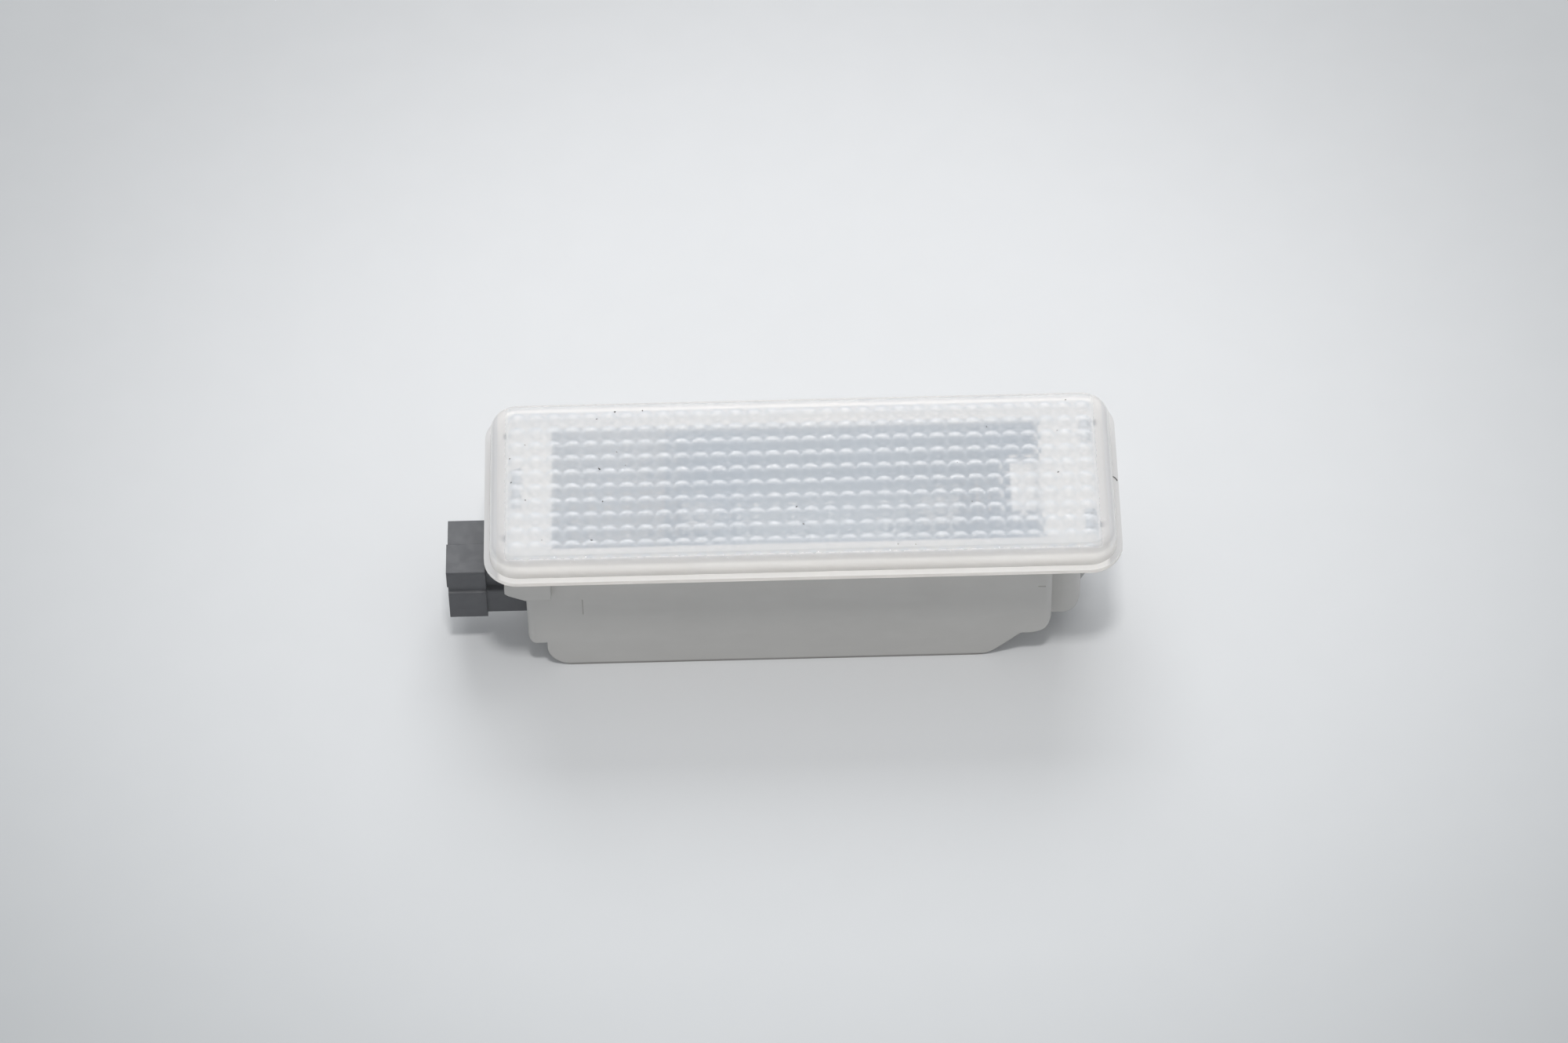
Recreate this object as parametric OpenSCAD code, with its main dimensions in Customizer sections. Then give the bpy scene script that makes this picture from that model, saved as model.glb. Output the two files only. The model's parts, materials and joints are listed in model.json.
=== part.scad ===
// Car interior light, snap-in type: a long frosted lens on a shallow moulded
// housing, a festoon bulb in a reflector tray inside, a steel clip at one end
// and a two-pin plug socket at the other.
//
// Frame: X runs along the lens, Y across it, Z up. The origin is on the flat
// bottom of the housing, under the middle of the lens. Sizes are millimetres.

/* [Lens] */
// Length of the lens, over its flange
lens_w = 80; // [76:0.5:88]
// Depth of the lens, over its flange
lens_d = 27.8; // [26.6:0.2:32]
// Height of the lens above the seat of its flange
lens_h = 3.7; // [3.6:0.1:4.6]
// Corner radius of the flange, seen from above
lens_corner_r = 4.3; // [3.5:0.1:5.5]
// Radius of the cap's upper edge
lens_edge_r = 1.2; // [0.8:0.1:1.4]
// Thickness of the flange
flange_t = 0.6; // [0.5:0.1:0.9]
// Width of the flange outside the cap
flange_ledge = 0.8; // [0.5:0.1:1.2]
// Thickness of the cap's side walls
lens_wall = 1.2; // [1:0.1:1.5]
// Thickness of the cap's top
lens_top_t = 1.5; // [1.2:0.1:1.7]
// Width of the pads inside the lens that rest on the rim plate
seat_pad_w = 1.2; // [1:0.1:2]
// Reach of those pads from the side walls
seat_pad_len = 0.8; // [0.7:0.1:1.2]
// Distance of the pads from the front and back walls
seat_pad_y = 3.6; // [3.2:0.1:4.5]

/* [Lens optics] */
// Distance between the dimples of the inner face, both ways
dimple_pitch = 2.31; // [2.25:0.01:2.6]
// Radius of a dimple's rim
dimple_r = 1.12; // [0.7:0.02:1.12]
// Depth of a dimple
dimple_depth = 0.33; // [0.2:0.01:0.5]
// Least land between the dimples and the end walls
dimple_margin_x = 0.9; // [0.5:0.1:2]
// Least land between the full rows and the side walls
dimple_margin_y = 0.3; // [0.2:0.05:1]
// Shift of the dimple field away from the front
dimple_shift = 0.3; // [0:0.05:0.4]

/* [Lens catches] */
// Thickness of a catch
catch_t = 0.9; // [0.8:0.1:1.1]
// Width of the single catch at the plug end
catch_w_left = 6; // [4:0.5:8]
// Width of each catch at the clip end
catch_w_right = 3.6; // [3:0.2:4]
// Reach of a catch below the rim plate
catch_drop = 2.8; // [2.2:0.1:3.4]
// Projection of a catch's nose
catch_nose = 0.35; // [0.2:0.05:0.45]
// Distance of the nose's shoulder below the rim plate
catch_play = 0.15; // [0.1:0.05:0.3]
// Gap between the clip's channel and the catches beside it
catch_side_gap = 0.3; // [0.2:0.05:0.4]
// Gap around a catch in its slot
catch_clear = 0.15; // [0.1:0.05:0.2]
// Gap between a catch and the end of the housing body
catch_gap = 0.3; // [0.2:0.05:0.4]

/* [Housing] */
// Height of the flange's seat above the flat bottom
seat_z = 19.8; // [19.4:0.2:23]
// Lens beyond the front and back walls of the body
side_overhang = 2.9; // [2.6:0.1:3.4]
// Lens beyond the end block on the plug side
plug_overhang = 4.95; // [4.6:0.05:5.2]
// Lens beyond the body's end on the clip side
clip_overhang = 8.7; // [8.6:0.1:9]
// Length of the end block outside the body
block_len = 2.35; // [2:0.05:2.8]
// Height of the end block's underside
block_z = 4.6; // [4.2:0.1:5]
// Radius of the end block's lower corner
block_toe_r = 0.8; // [0.6:0.1:1.6]
// Thickness of the body's walls
wall_t = 1.2; // [1:0.1:1.3]
// Thickness of the body's floor
floor_t = 1.5; // [1.2:0.1:1.5]
// Thickness of the rim plate inside the lens
rim_t = 1.5; // [1.3:0.1:1.5]
// Gap between the rim plate and the lens walls
rim_clear = 0.4; // [0.3:0.05:0.5]
// Radius of the body's lower corner on the plug side
toe_r = 3.6; // [2:0.1:4]
// Radius of the body's lower corner on the clip side
heel_r = 2.8; // [2:0.1:3]
// Radius between the flat bottom and the slope
slope_r = 4; // [3:0.1:4.5]
// Angle between the flat bottom and the slope
slope_lean = 45; // [38:1:52]
// Height of the underside beyond the slope
slope_z = 4.3; // [3.8:0.1:4.5]
// Length of that underside, up to the heel's radius
slope_shelf = 1.04; // [0.8:0.02:1.6]
// Radius of the body's upright corners
body_corner_r = 1.1; // [0.8:0.1:1.4]
// Length of the hollow pillar inside the clip end
pillar_len = 4; // [3.4:0.1:4.4]
// Width of the pillar
pillar_w = 8.8; // [7:0.2:9.4]
// Distance of the pillar's top below the rim
pillar_drop = 2; // [1.6:0.1:3]
// Wall of the pillar
pillar_t = 1.1; // [0.9:0.1:1.2]
// Thickness of the ribs inside the housing
rib_t = 1.2; // [0.9:0.1:1.4]
// Distance between the middle and the inner ends of the reflector's shelves
shelf_y = 3.8; // [3.2:0.1:4.2]

/* [Lugs] */
// Width of a lug along the front or back wall
lug_len = 5.8; // [4:0.1:6.2]
// Depth of a lug from its outer face inwards
lug_d = 5; // [3:0.1:5.2]
// Projection of a lug from the front or back wall
lug_proud = 0.85; // [0.6:0.05:0.9]
// Reach of a lug beyond the end block
lug_reach = 2.55; // [1.6:0.05:2.8]
// Gap for the panel between the lug and the flange
panel_gap = 2.2; // [1.2:0.1:2.4]
// Thickness of a lug at its tip
lug_tip_t = 1.8; // [1.2:0.1:2]
// Thickness of a lug at its root
lug_root_t = 3.3; // [2.6:0.1:3.6]
// Chamfer of a lug's tip
lug_chamfer = 0.45; // [0.2:0.05:0.5]

/* [Clip end] */
// Length of the boss that carries the clip
boss_len = 3.9; // [3.8:0.05:4.1]
// Width of the boss
boss_w = 16; // [15:0.2:18]
// Height of the boss's underside
boss_z = 4.6; // [4.2:0.1:4.8]
// Radius of the boss's lower corner
boss_toe_r = 1.5; // [1:0.1:1.8]
// Radius of the boss's upright corners
boss_corner_r = 2.4; // [1.5:0.1:2.5]
// Width of the steel clip
clip_w = 10; // [8:0.2:10.4]
// Thickness of the steel clip
clip_t = 0.4; // [0.3:0.05:0.5]
// Inner radius of the clip's rolled foot
clip_curl_r = 0.4; // [0.35:0.05:0.5]
// Turn of the rolled foot
clip_roll = 290; // [270:5:300]
// Height of the foot's axis
clip_foot_z = 6.3; // [6.2:0.05:6.6]
// Distance of the foot's axis from the boss's end face
clip_foot_in = 1.3; // [1.25:0.05:1.4]
// Lean of the clip's lower leaf
clip_lean = 24; // [20:1:25]
// Length of the clip's lower leaf
clip_leaf = 7.4; // [6.5:0.1:7.8]
// Lean of the clip's upper leaf
clip_return = 30; // [25:1:34]
// Length of the clip's upper leaf
clip_tail = 4.2; // [3:0.1:4.4]
// Radius of the clip's nose, on its inner side
clip_nose_r = 0.8; // [0.6:0.1:1]
// Gap between the clip and the sides of its channel
clip_side_clear = 0.3; // [0.2:0.05:0.4]
// Running gap around the rolled foot
clip_foot_clear = 0.06; // [0.03:0.01:0.08]
// Wall left between the clip's channel and the body
clip_back_t = 1.3; // [1:0.1:1.3]

/* [Plug socket] */
// Reach of the socket beyond the end block
socket_reach = 9.95; // [8:0.05:11]
// Length of the socket's collar
collar_len = 4.8; // [4:0.1:5]
// Width of the collar
collar_w = 8.9; // [8.4:0.1:9.2]
// Height of the collar
collar_h = 8.3; // [8:0.1:8.8]
// Height of the collar's underside
collar_z = 5.3; // [5:0.1:5.6]
// Distance of the socket's centre line in front of the middle
socket_y = 2.3; // [1.8:0.1:2.6]
// Height of the collar's proud lower band
band_h = 5; // [4.4:0.1:5.6]
// Projection of that band
band_t = 0.5; // [0.3:0.05:0.6]
// Height of the raised pad on the collar's top
pad_t = 0.15; // [0.1:0.05:0.3]
// Margin between the pad and the collar's front
pad_inset = 0.1; // [0.05:0.05:0.4]
// Reach of the pad behind the socket's centre line
pad_back = 0.3; // [0:0.1:1]
// Distance of the pad above the lower band
pad_over_band = 0.6; // [0.4:0.1:1]
// Width of the neck
neck_w = 7.6; // [7.4:0.1:7.8]
// Height of the neck
neck_h = 6.7; // [6.5:0.1:6.9]
// Step from the collar's underside up to the neck's
neck_step = 1.15; // [1:0.05:1.3]
// Projection of the neck's proud lower band
neck_band_t = 0.85; // [0.5:0.05:1]
// Reach of that band below the neck
neck_band_drop = 0.45; // [0.2:0.05:0.6]
// Width of the hollow for the plug
mouth_w = 6.2; // [5.8:0.1:6.3]
// Height of the hollow for the plug
mouth_h = 5.1; // [4.8:0.1:5.2]
// Depth of the hollow for the plug
mouth_depth = 8.4; // [7.5:0.1:8.6]
// Radius of the socket's upright edges
socket_edge_r = 0.4; // [0.2:0.1:0.6]
// Reach of the neck into the housing's cavity
neck_in = 0.4; // [0.2:0.1:0.8]
// Gap between the neck and its hole in the housing
neck_clear = 0.05; // [0.02:0.01:0.1]

/* [Contact strips] */
// Thickness of the brass strip
strip_t = 0.6; // [0.5:0.05:0.7]
// Width of a strip where it lies on the floor
strip_w = 3; // [2.4:0.1:3.2]
// Height of a pin
pin_h = 1.2; // [1:0.1:1.4]
// Distance between the two pins
pin_pitch = 3.1; // [2.8:0.1:3.4]
// Length of a pin inside the hollow
pin_len = 3.9; // [3:0.1:4]
// Gap around a pin in the socket's back wall
pin_clear = 0.03; // [0.02:0.01:0.06]
// Gap between the neck's end and the strips' upright legs
leg_gap = 0.4; // [0.3:0.05:0.6]
// Width of a strip's upright leg
leg_w = 2.4; // [1.8:0.1:2.6]
// Distance of the long strip's run behind the middle
long_run_y = 5; // [4.8:0.1:5.2]
// Length of a strip's pad under its spring
contact_pad_len = 6.6; // [6.2:0.1:6.8]
// Reach of a pad beyond its spring's blade
pad_over = 0.4; // [0.3:0.05:0.6]
// Gap between the strips and the shelves over or beside them
strip_clear = 0.35; // [0.3:0.05:0.4]
// Height of the strips' underside over the floor
strip_lift = 1.1; // [1:0.1:1.3]
// Thickness of a contact spring
spring_t = 0.4; // [0.3:0.05:0.5]
// Width of a contact spring
spring_w = 6; // [5:0.2:6.4]
// Length of a contact spring's foot
spring_foot = 4.6; // [4.4:0.1:5]
// Height of a contact spring above the bulb's axis
spring_over = 3.6; // [2.8:0.1:4]
// Radius of the bends of the contact springs
spring_bend_r = 0.5; // [0.4:0.1:0.7]
// Lean of a contact spring's flared top
spring_flare = 25; // [15:1:35]
// Length of the flared top
spring_lip = 1.4; // [1:0.1:1.6]
// Depth that a cap's tip reaches through its spring
spring_in = 1.2; // [1:0.1:1.3]
// Radius of a rivet's shank
rivet_r = 0.9; // [0.7:0.05:1]
// Radius of a rivet's heads
rivet_head_r = 1.7; // [1.4:0.1:1.9]
// Thickness of a rivet's heads
rivet_head_t = 0.45; // [0.3:0.05:0.6]
// Gap around a rivet's shank
rivet_clear = 0.05; // [0.03:0.01:0.08]
// Radius of a heat stake's stem
stake_r = 0.8; // [0.6:0.05:0.9]
// Radius of a heat stake's head
stake_head_r = 1.2; // [1.04:0.05:1.36]
// Thickness of a heat stake's head
stake_head_t = 0.5; // [0.3:0.05:0.6]

/* [Bulb] */
// Length of the bulb, tip to tip
bulb_len = 41; // [39:0.5:42]
// Distance of the clip-side spring beyond the start of the slope
spring_past_slope = 0.1; // [0:0.05:0.3]
// Height of the bulb's axis
bulb_z = 11.8; // [11.4:0.1:12]
// Radius of the glass
glass_r = 5.25; // [4.8:0.05:5.3]
// Wall of the glass
glass_t = 0.6; // [0.5:0.05:0.8]
// Distance from a tip of the bulb to the glass outside the cap
glass_inset = 7.5; // [7:0.1:8.5]
// Length of the glass's shoulder at each end
glass_shoulder = 2.4; // [1.6:0.1:3]
// Radius of a cap
cap_r = 4.25; // [4:0.05:4.3]
// Length of a cap's round part
cap_len = 4.4; // [4:0.1:5]
// Wall of a cap round the glass
cap_t = 0.35; // [0.25:0.05:0.4]
// Radius of a cap's tip
cap_tip_r = 1.2; // [1:0.1:1.3]
// Radius of a cap's cone where its spring holds it
cap_seat_r = 1.7; // [1.5:0.05:1.9]
// Chamfer of a cap's edges
cap_edge = 0.4; // [0.3:0.05:0.6]
// Depth of the glass inside a cap
glass_in_cap = 2.6; // [2:0.1:3]
// Length of the filament
filament_len = 14; // [10:0.5:18]
// Radius of the filament's coil
filament_r = 0.5; // [0.4:0.05:0.7]
// Turns of the filament's coil
filament_turns = 14; // [10:1:16]
// Radius of the filament's wire
filament_wire_r = 0.13; // [0.1:0.01:0.16]
// Radius of the lead wires
lead_r = 0.25; // [0.2:0.05:0.3]

/* [Reflector] */
// Thickness of the reflector's sheet
tray_t = 0.5; // [0.4:0.05:0.6]
// Height of the reflector's underside
tray_z = 5; // [4.8:0.1:5.1]
// Width of the reflector's flat bottom, outside
tray_bottom_w = 12; // [11:0.2:13]
// Gap between the reflector's upper edges and the body's walls
tray_clear = 0.5; // [0.4:0.05:0.8]
// Distance of the reflector's upper edge below the rim
tray_drop = 1.3; // [1:0.1:2]
// Radius of the reflector's bends, inside
tray_bend_r = 1; // [0.8:0.1:1.4]
// Gap between the reflector's bottom and the contact springs
tray_end_gap = 0.5; // [0.4:0.05:0.8]
// Gap between the reflector's wings and the body's end wall
tray_wing_gap = 0.4; // [0.3:0.05:0.6]
// Height of the cut under the reflector's long wings
tray_wing_cut = 1.5; // [1.3:0.1:2.5]

/* [Hidden] */
$fn = 64;
eps = 0.01;
over = 1;

// Lens
lens_top_z = seat_z + lens_h;
lens_inner_z = lens_top_z - lens_top_t;
cap_w = lens_w - 2 * flange_ledge;
cap_d = lens_d - 2 * flange_ledge;
cap_corner_r = lens_corner_r - flange_ledge;
hollow_w = cap_w - 2 * lens_wall;
hollow_d = cap_d - 2 * lens_wall;
hollow_corner_r = cap_corner_r - lens_wall;
dimple_ball_r = (dimple_r * dimple_r + dimple_depth * dimple_depth) / (2 * dimple_depth);
dimple_cols = floor((hollow_w - 2 * dimple_margin_x) / dimple_pitch);
dimple_rows = floor((hollow_d - 2 * dimple_margin_y) / dimple_pitch);

// Housing
rim_w = hollow_w - 2 * rim_clear;
rim_d = hollow_d - 2 * rim_clear;
rim_corner_r = hollow_corner_r - rim_clear;
rim_z = seat_z + rim_t;
body_d = lens_d - 2 * side_overhang;
block_x = -lens_w / 2 + plug_overhang;
body_left = block_x + block_len;
body_right = lens_w / 2 - clip_overhang;
boss_x = body_right + boss_len;
heel_x = body_right - heel_r;
slope_end_x = heel_x - slope_shelf;
slope_foot_z = slope_r * (1 - cos(slope_lean));
slope_start_x = slope_end_x - (slope_z - slope_foot_z) / tan(slope_lean) - slope_r * sin(slope_lean);
cavity_left = body_left + wall_t;
cavity_right = body_right - wall_t;
cavity_d = body_d - 2 * wall_t;

// Catches of the lens
catch_left_x = block_x - catch_gap - catch_t;
catch_right_x = boss_x + catch_gap;
catch_right_y = clip_w / 2 + clip_side_clear + catch_side_gap + catch_w_right / 2;
catch_z = seat_z - catch_drop;

// Clip
curl_r = clip_curl_r + clip_t;
clip_foot_x = boss_x - clip_foot_in;
leaf_start = [
    clip_foot_x + curl_r * cos(clip_lean),
    clip_foot_z - curl_r * sin(clip_lean)
];
leaf_end = leaf_start + clip_leaf * [sin(clip_lean), cos(clip_lean)];
nose_centre = leaf_end - (clip_nose_r + clip_t) * [cos(clip_lean), -sin(clip_lean)];
tail_start = nose_centre + (clip_nose_r + clip_t) * [cos(clip_return), sin(clip_return)];
channel_x = body_right + clip_back_t;
channel_w = clip_w + 2 * clip_side_clear;

// Plug socket
socket_x = block_x - socket_reach;
collar_end_x = socket_x + collar_len;
collar_top_z = collar_z + collar_h;
neck_z = collar_z + neck_step;
neck_end_x = cavity_left + neck_in;
neck_front = -socket_y - neck_w / 2;
mouth_z = neck_z + (neck_h - mouth_h) / 2;
mouth_end_x = socket_x + mouth_depth;
socket_mid_z = mouth_z + mouth_h / 2;

// Contact strips
strip_z = floor_t + strip_lift;
strip_top_z = strip_z + strip_t;
pin_start_x = mouth_end_x - pin_len;
leg_x = neck_end_x + leg_gap;
short_y = -socket_y - pin_pitch / 2;
long_y = -socket_y + pin_pitch / 2;
spring_face = bulb_len / 2 - spring_in;
spring_right_x = slope_start_x + spring_past_slope;
bulb_x = spring_right_x - spring_face;
spring_left_x = bulb_x - spring_face;
glass_len = bulb_len - 2 * glass_inset;
spring_base_z = strip_top_z;
rivet_inset = spring_foot / 2;

// Reflector
tray_left_x = spring_left_x + tray_end_gap;
tray_right_x = spring_right_x - tray_end_gap;
tray_top_z = rim_z - tray_drop;
tray_top_w = cavity_d - 2 * tray_clear;
tray_wing_x = cavity_right - tray_wing_gap;
tray_lean = atan2((tray_top_w - tray_bottom_w) / 2, tray_top_z - tray_z);

// Heat stakes and ribs
stake_short_y = short_y + strip_t / 2 - strip_w / 2;
stake_long_x = bulb_x;
pad_left_x = spring_left_x - pad_over;
stake_short_x = (leg_x + leg_w + pad_left_x) / 2;
pad_right_x = spring_right_x + pad_over;
pad_rib_left_x = pad_left_x + contact_pad_len - rib_t;
pad_rib_right_x = pad_right_x - contact_pad_len;
shelf_left_x = pad_rib_left_x + rib_t + strip_clear;
shelf_right_x = pad_rib_right_x - rib_t - strip_clear;

// Bulb
glass_steps = 3;
filament_steps = 8;
filament_sides = 5;

// Rectangle with round corners, centred
module rounded_rect(w, d, r) {
    square([w - 2 * r, d], center = true);
    square([w, d - 2 * r], center = true);
    for (sx = [-1, 1], sy = [-1, 1])
        translate([sx * (w / 2 - r), sy * (d / 2 - r)])
            circle(r);
}

// Upright slab with round corners, from height z0 to z1
module slab(w, d, r, z0, z1) {
    translate([0, 0, z0])
        linear_extrude(z1 - z0)
            rounded_rect(w, d, r);
}

// Box from one corner to the other
module block(from, to) {
    translate(from)
        cube(to - from);
}

// Extrudes an X-Z drawing from y0 to y1
module along_y(y0, y1) {
    translate([0, y1, 0])
        rotate([90, 0, 0])
            linear_extrude(y1 - y0)
                children();
}

// Extrudes a Y-Z drawing from x0 to x1
module along_x(x0, x1) {
    translate([x0, 0, 0])
        rotate([90, 0, 90])
            linear_extrude(x1 - x0)
                children();
}

// Part of a ring between two angles
module ring_sector(r_in, r_out, a0, a1) {
    reach = 2 * r_out;
    steps = ceil((a1 - a0) / 75);
    intersection() {
        difference() {
            circle(r_out);
            circle(r_in);
        }
        polygon([
            [0, 0],
            for (k = [0 : steps])
                let (a = a0 + (a1 - a0) * k / steps)
                reach * [cos(a), sin(a)]
        ]);
    }
}

// Straight strip of sheet, its right-hand face running from p at angle a
module sheet_run(p, a, len, t) {
    translate(p)
        rotate(a)
            square([len, t]);
}

// Section of the cap: flat foot, round upper corners
module cap_section(span) {
    translate([-span / 2, 0])
        square([span, lens_h - lens_edge_r]);
    translate([-span / 2 + lens_edge_r, 0])
        square([span - 2 * lens_edge_r, lens_h]);
    for (s = [-1, 1])
        translate([s * (span / 2 - lens_edge_r), lens_h - lens_edge_r])
            circle(lens_edge_r);
}

// Outside of the cap, its upper edge round all the way
module cap_outside() {
    translate([0, 0, seat_z]) {
        along_x(-cap_w / 2 + cap_corner_r, cap_w / 2 - cap_corner_r)
            cap_section(cap_d);
        along_y(-cap_d / 2 + cap_corner_r, cap_d / 2 - cap_corner_r)
            cap_section(cap_w);
        for (sx = [-1, 1], sy = [-1, 1])
            translate([sx * (cap_w / 2 - cap_corner_r), sy * (cap_d / 2 - cap_corner_r), 0])
                rotate_extrude()
                    intersection() {
                        cap_section(2 * cap_corner_r);
                        square([cap_corner_r, lens_h]);
                    }
    }
}

// One dimple, its rim on the inner face of the cap
module dimple() {
    rotate_extrude()
        intersection() {
            translate([0, dimple_depth - dimple_ball_r])
                circle(dimple_ball_r);
            translate([0, -eps])
                square([dimple_ball_r, dimple_depth + over]);
        }
}

// Row of dimples, counted from the front
module dimple_row(row) {
    for (col = [0 : dimple_cols - 1])
        translate([
            (col - (dimple_cols - 1) / 2) * dimple_pitch,
            (row - (dimple_rows - 1) / 2) * dimple_pitch + dimple_shift,
            lens_inner_z
        ])
            dimple();
}

// Full rows, and one more that the front wall cuts short
module dimple_field() {
    for (row = [0 : dimple_rows - 1])
        dimple_row(row);
    intersection() {
        slab(hollow_w, hollow_d, hollow_corner_r, lens_inner_z - over, lens_inner_z + over);
        dimple_row(-1);
    }
}

// Catch that hangs from the cap, its nose pointing along +X
module lens_catch(x0, y_mid, w) {
    tip = catch_z;
    along_y(y_mid - w / 2, y_mid + w / 2)
        polygon([
            [x0, lens_inner_z + eps],
            [x0, tip],
            [x0 + catch_t, tip],
            [x0 + catch_t + catch_nose, tip + catch_nose * 2],
            [x0 + catch_t + catch_nose, seat_z - catch_play - catch_nose],
            [x0 + catch_t, seat_z - catch_play],
            [x0 + catch_t, lens_inner_z + eps]
        ]);
}

module lens() {
    color("white", 0.75) {
        difference() {
            union() {
                slab(lens_w, lens_d, lens_corner_r, seat_z, seat_z + flange_t);
                cap_outside();
            }
            slab(hollow_w, hollow_d, hollow_corner_r, seat_z - over, lens_inner_z);
            dimple_field();
        }
        for (sx = [-1, 1], sy = [-1, 1])
            translate([sx * (hollow_w - seat_pad_len) / 2, sy * (hollow_d / 2 - seat_pad_y), rim_z])
                translate([-seat_pad_len / 2 - eps, -seat_pad_w / 2, 0])
                    cube([seat_pad_len + 2 * eps, seat_pad_w, lens_inner_z - rim_z + lens_top_t / 2]);
        mirror([1, 0, 0])
            lens_catch(-catch_left_x - catch_t, 0, catch_w_left);
        for (s = [-1, 1])
            lens_catch(catch_right_x, s * catch_right_y, catch_w_right);
    }
}

// Side outline of the body, from the flat bottom to the rim plate
module body_side(inset) {
    left = body_left + inset;
    right = body_right - inset;
    base = inset > 0 ? floor_t : 0;
    toe = toe_r - inset;
    heel = heel_r - inset;
    shelf_z = slope_z + base;
    slope_x = slope_start_x - base * tan(slope_lean / 2);
    foot_x = slope_x + slope_r * sin(slope_lean);
    foot_z = base + slope_foot_z;
    shelf_x = foot_x + (shelf_z - foot_z) / tan(slope_lean);
    top = rim_z + (inset > 0 ? over : 0);
    polygon([
        [left, base + toe],
        [left + toe, base],
        [slope_x, base],
        [foot_x, foot_z],
        [shelf_x, shelf_z],
        [right - heel, shelf_z],
        [right, shelf_z + heel],
        [right, top],
        [left, top]
    ]);
    translate([left + toe, base + toe])
        circle(toe);
    translate([right - heel, shelf_z + heel])
        circle(heel);
    intersection() {
        translate([slope_x, base + slope_r])
            circle(slope_r);
        translate([slope_x, base - over])
            square([foot_x - slope_x, slope_foot_z + over]);
    }
}

// End block beside the plug: lower corner round
module block_side() {
    translate([block_x, block_z + block_toe_r])
        square([block_len + over, seat_z - block_z - block_toe_r + eps]);
    translate([block_x + block_toe_r, block_z])
        square([block_len + over - block_toe_r, over + block_toe_r]);
    translate([block_x + block_toe_r, block_z + block_toe_r])
        circle(block_toe_r);
}

// Boss that carries the clip: lower corner round
module boss_side() {
    translate([body_right - over, boss_z])
        square([boss_len + over - boss_toe_r, seat_z - boss_z + eps]);
    translate([body_right - over, boss_z + boss_toe_r])
        square([boss_len + over, seat_z - boss_z - boss_toe_r + eps]);
    translate([boss_x - boss_toe_r, boss_z + boss_toe_r])
        circle(boss_toe_r);
}

// Solid body with upright round corners
module body_outside() {
    intersection() {
        union() {
            along_y(-body_d / 2, body_d / 2)
                body_side(0);
            along_y(-body_d / 2, body_d / 2)
                block_side();
        }
        translate([(block_x + body_right) / 2, 0, 0])
            slab(body_right - block_x, body_d, body_corner_r, -over, seat_z + rim_t / 2);
    }
    intersection() {
        along_y(-boss_w / 2, boss_w / 2)
            boss_side();
        translate([body_right - over, 0, 0])
            slab(2 * (boss_len + over), boss_w, boss_corner_r, 0, seat_z + rim_t / 2);
    }
}

// Hook under the flange, drawn from its tip towards the body
module lug_side() {
    tip_x = block_x - lug_reach;
    top_z = seat_z - panel_gap;
    polygon([
        [tip_x + lug_chamfer, top_z],
        [block_x - eps, top_z],
        [block_x - eps, seat_z],
        [block_x + lug_len - lug_reach, seat_z],
        [block_x + lug_len - lug_reach, top_z - lug_root_t],
        [block_x, top_z - lug_root_t],
        [tip_x + lug_chamfer, top_z - lug_tip_t - lug_chamfer],
        [tip_x, top_z - lug_tip_t],
        [tip_x, top_z - lug_chamfer]
    ]);
}

// Slot in the rim plate for one catch of the lens
module catch_slot(x0, y_mid, w) {
    block(
        [x0 - catch_clear, y_mid - w / 2 - catch_clear, seat_z - over],
        [x0 + catch_t + catch_nose + catch_clear, y_mid + w / 2 + catch_clear, rim_z + over]
    );
}

// Shelves across one place, from both side walls, that the reflector rests on
module tray_shelf(x) {
    for (s = [0, 1])
        mirror([0, s, 0]) {
            block(
                [x, shelf_y, strip_top_z + strip_clear],
                [x + rib_t, cavity_d / 2 + eps, tray_z]
            );
            block(
                [x, long_run_y + strip_w / 2 + strip_clear, floor_t - eps],
                [x + rib_t, cavity_d / 2 + eps, tray_z]
            );
        }
}

// Ribs on the floor under the pads of the strips
module pad_ribs() {
    for (x = [pad_rib_left_x, pad_rib_right_x])
        block([x, -spring_w / 2, floor_t - eps], [x + rib_t, spring_w / 2, strip_z]);
}

// Pillar at the clip end, hollow from below
module pillar(inset) {
    block(
        [cavity_right - pillar_len + inset, -pillar_w / 2 + inset, inset > 0 ? -over : slope_z],
        [cavity_right + (inset > 0 ? 0 : eps), pillar_w / 2 - inset, rim_z - pillar_drop - inset]
    );
}

// Stem and head that hold a strip down on the floor
module stake(x, y) {
    translate([x, y, floor_t - eps])
        cylinder(r = stake_r, h = strip_top_z - floor_t + 2 * eps);
    translate([x, y, floor_t - eps])
        cylinder(r = stake_head_r, h = strip_z - floor_t + eps);
    translate([x, y, strip_top_z])
        cylinder(r1 = stake_head_r, r2 = stake_r, h = stake_head_t);
}

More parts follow.
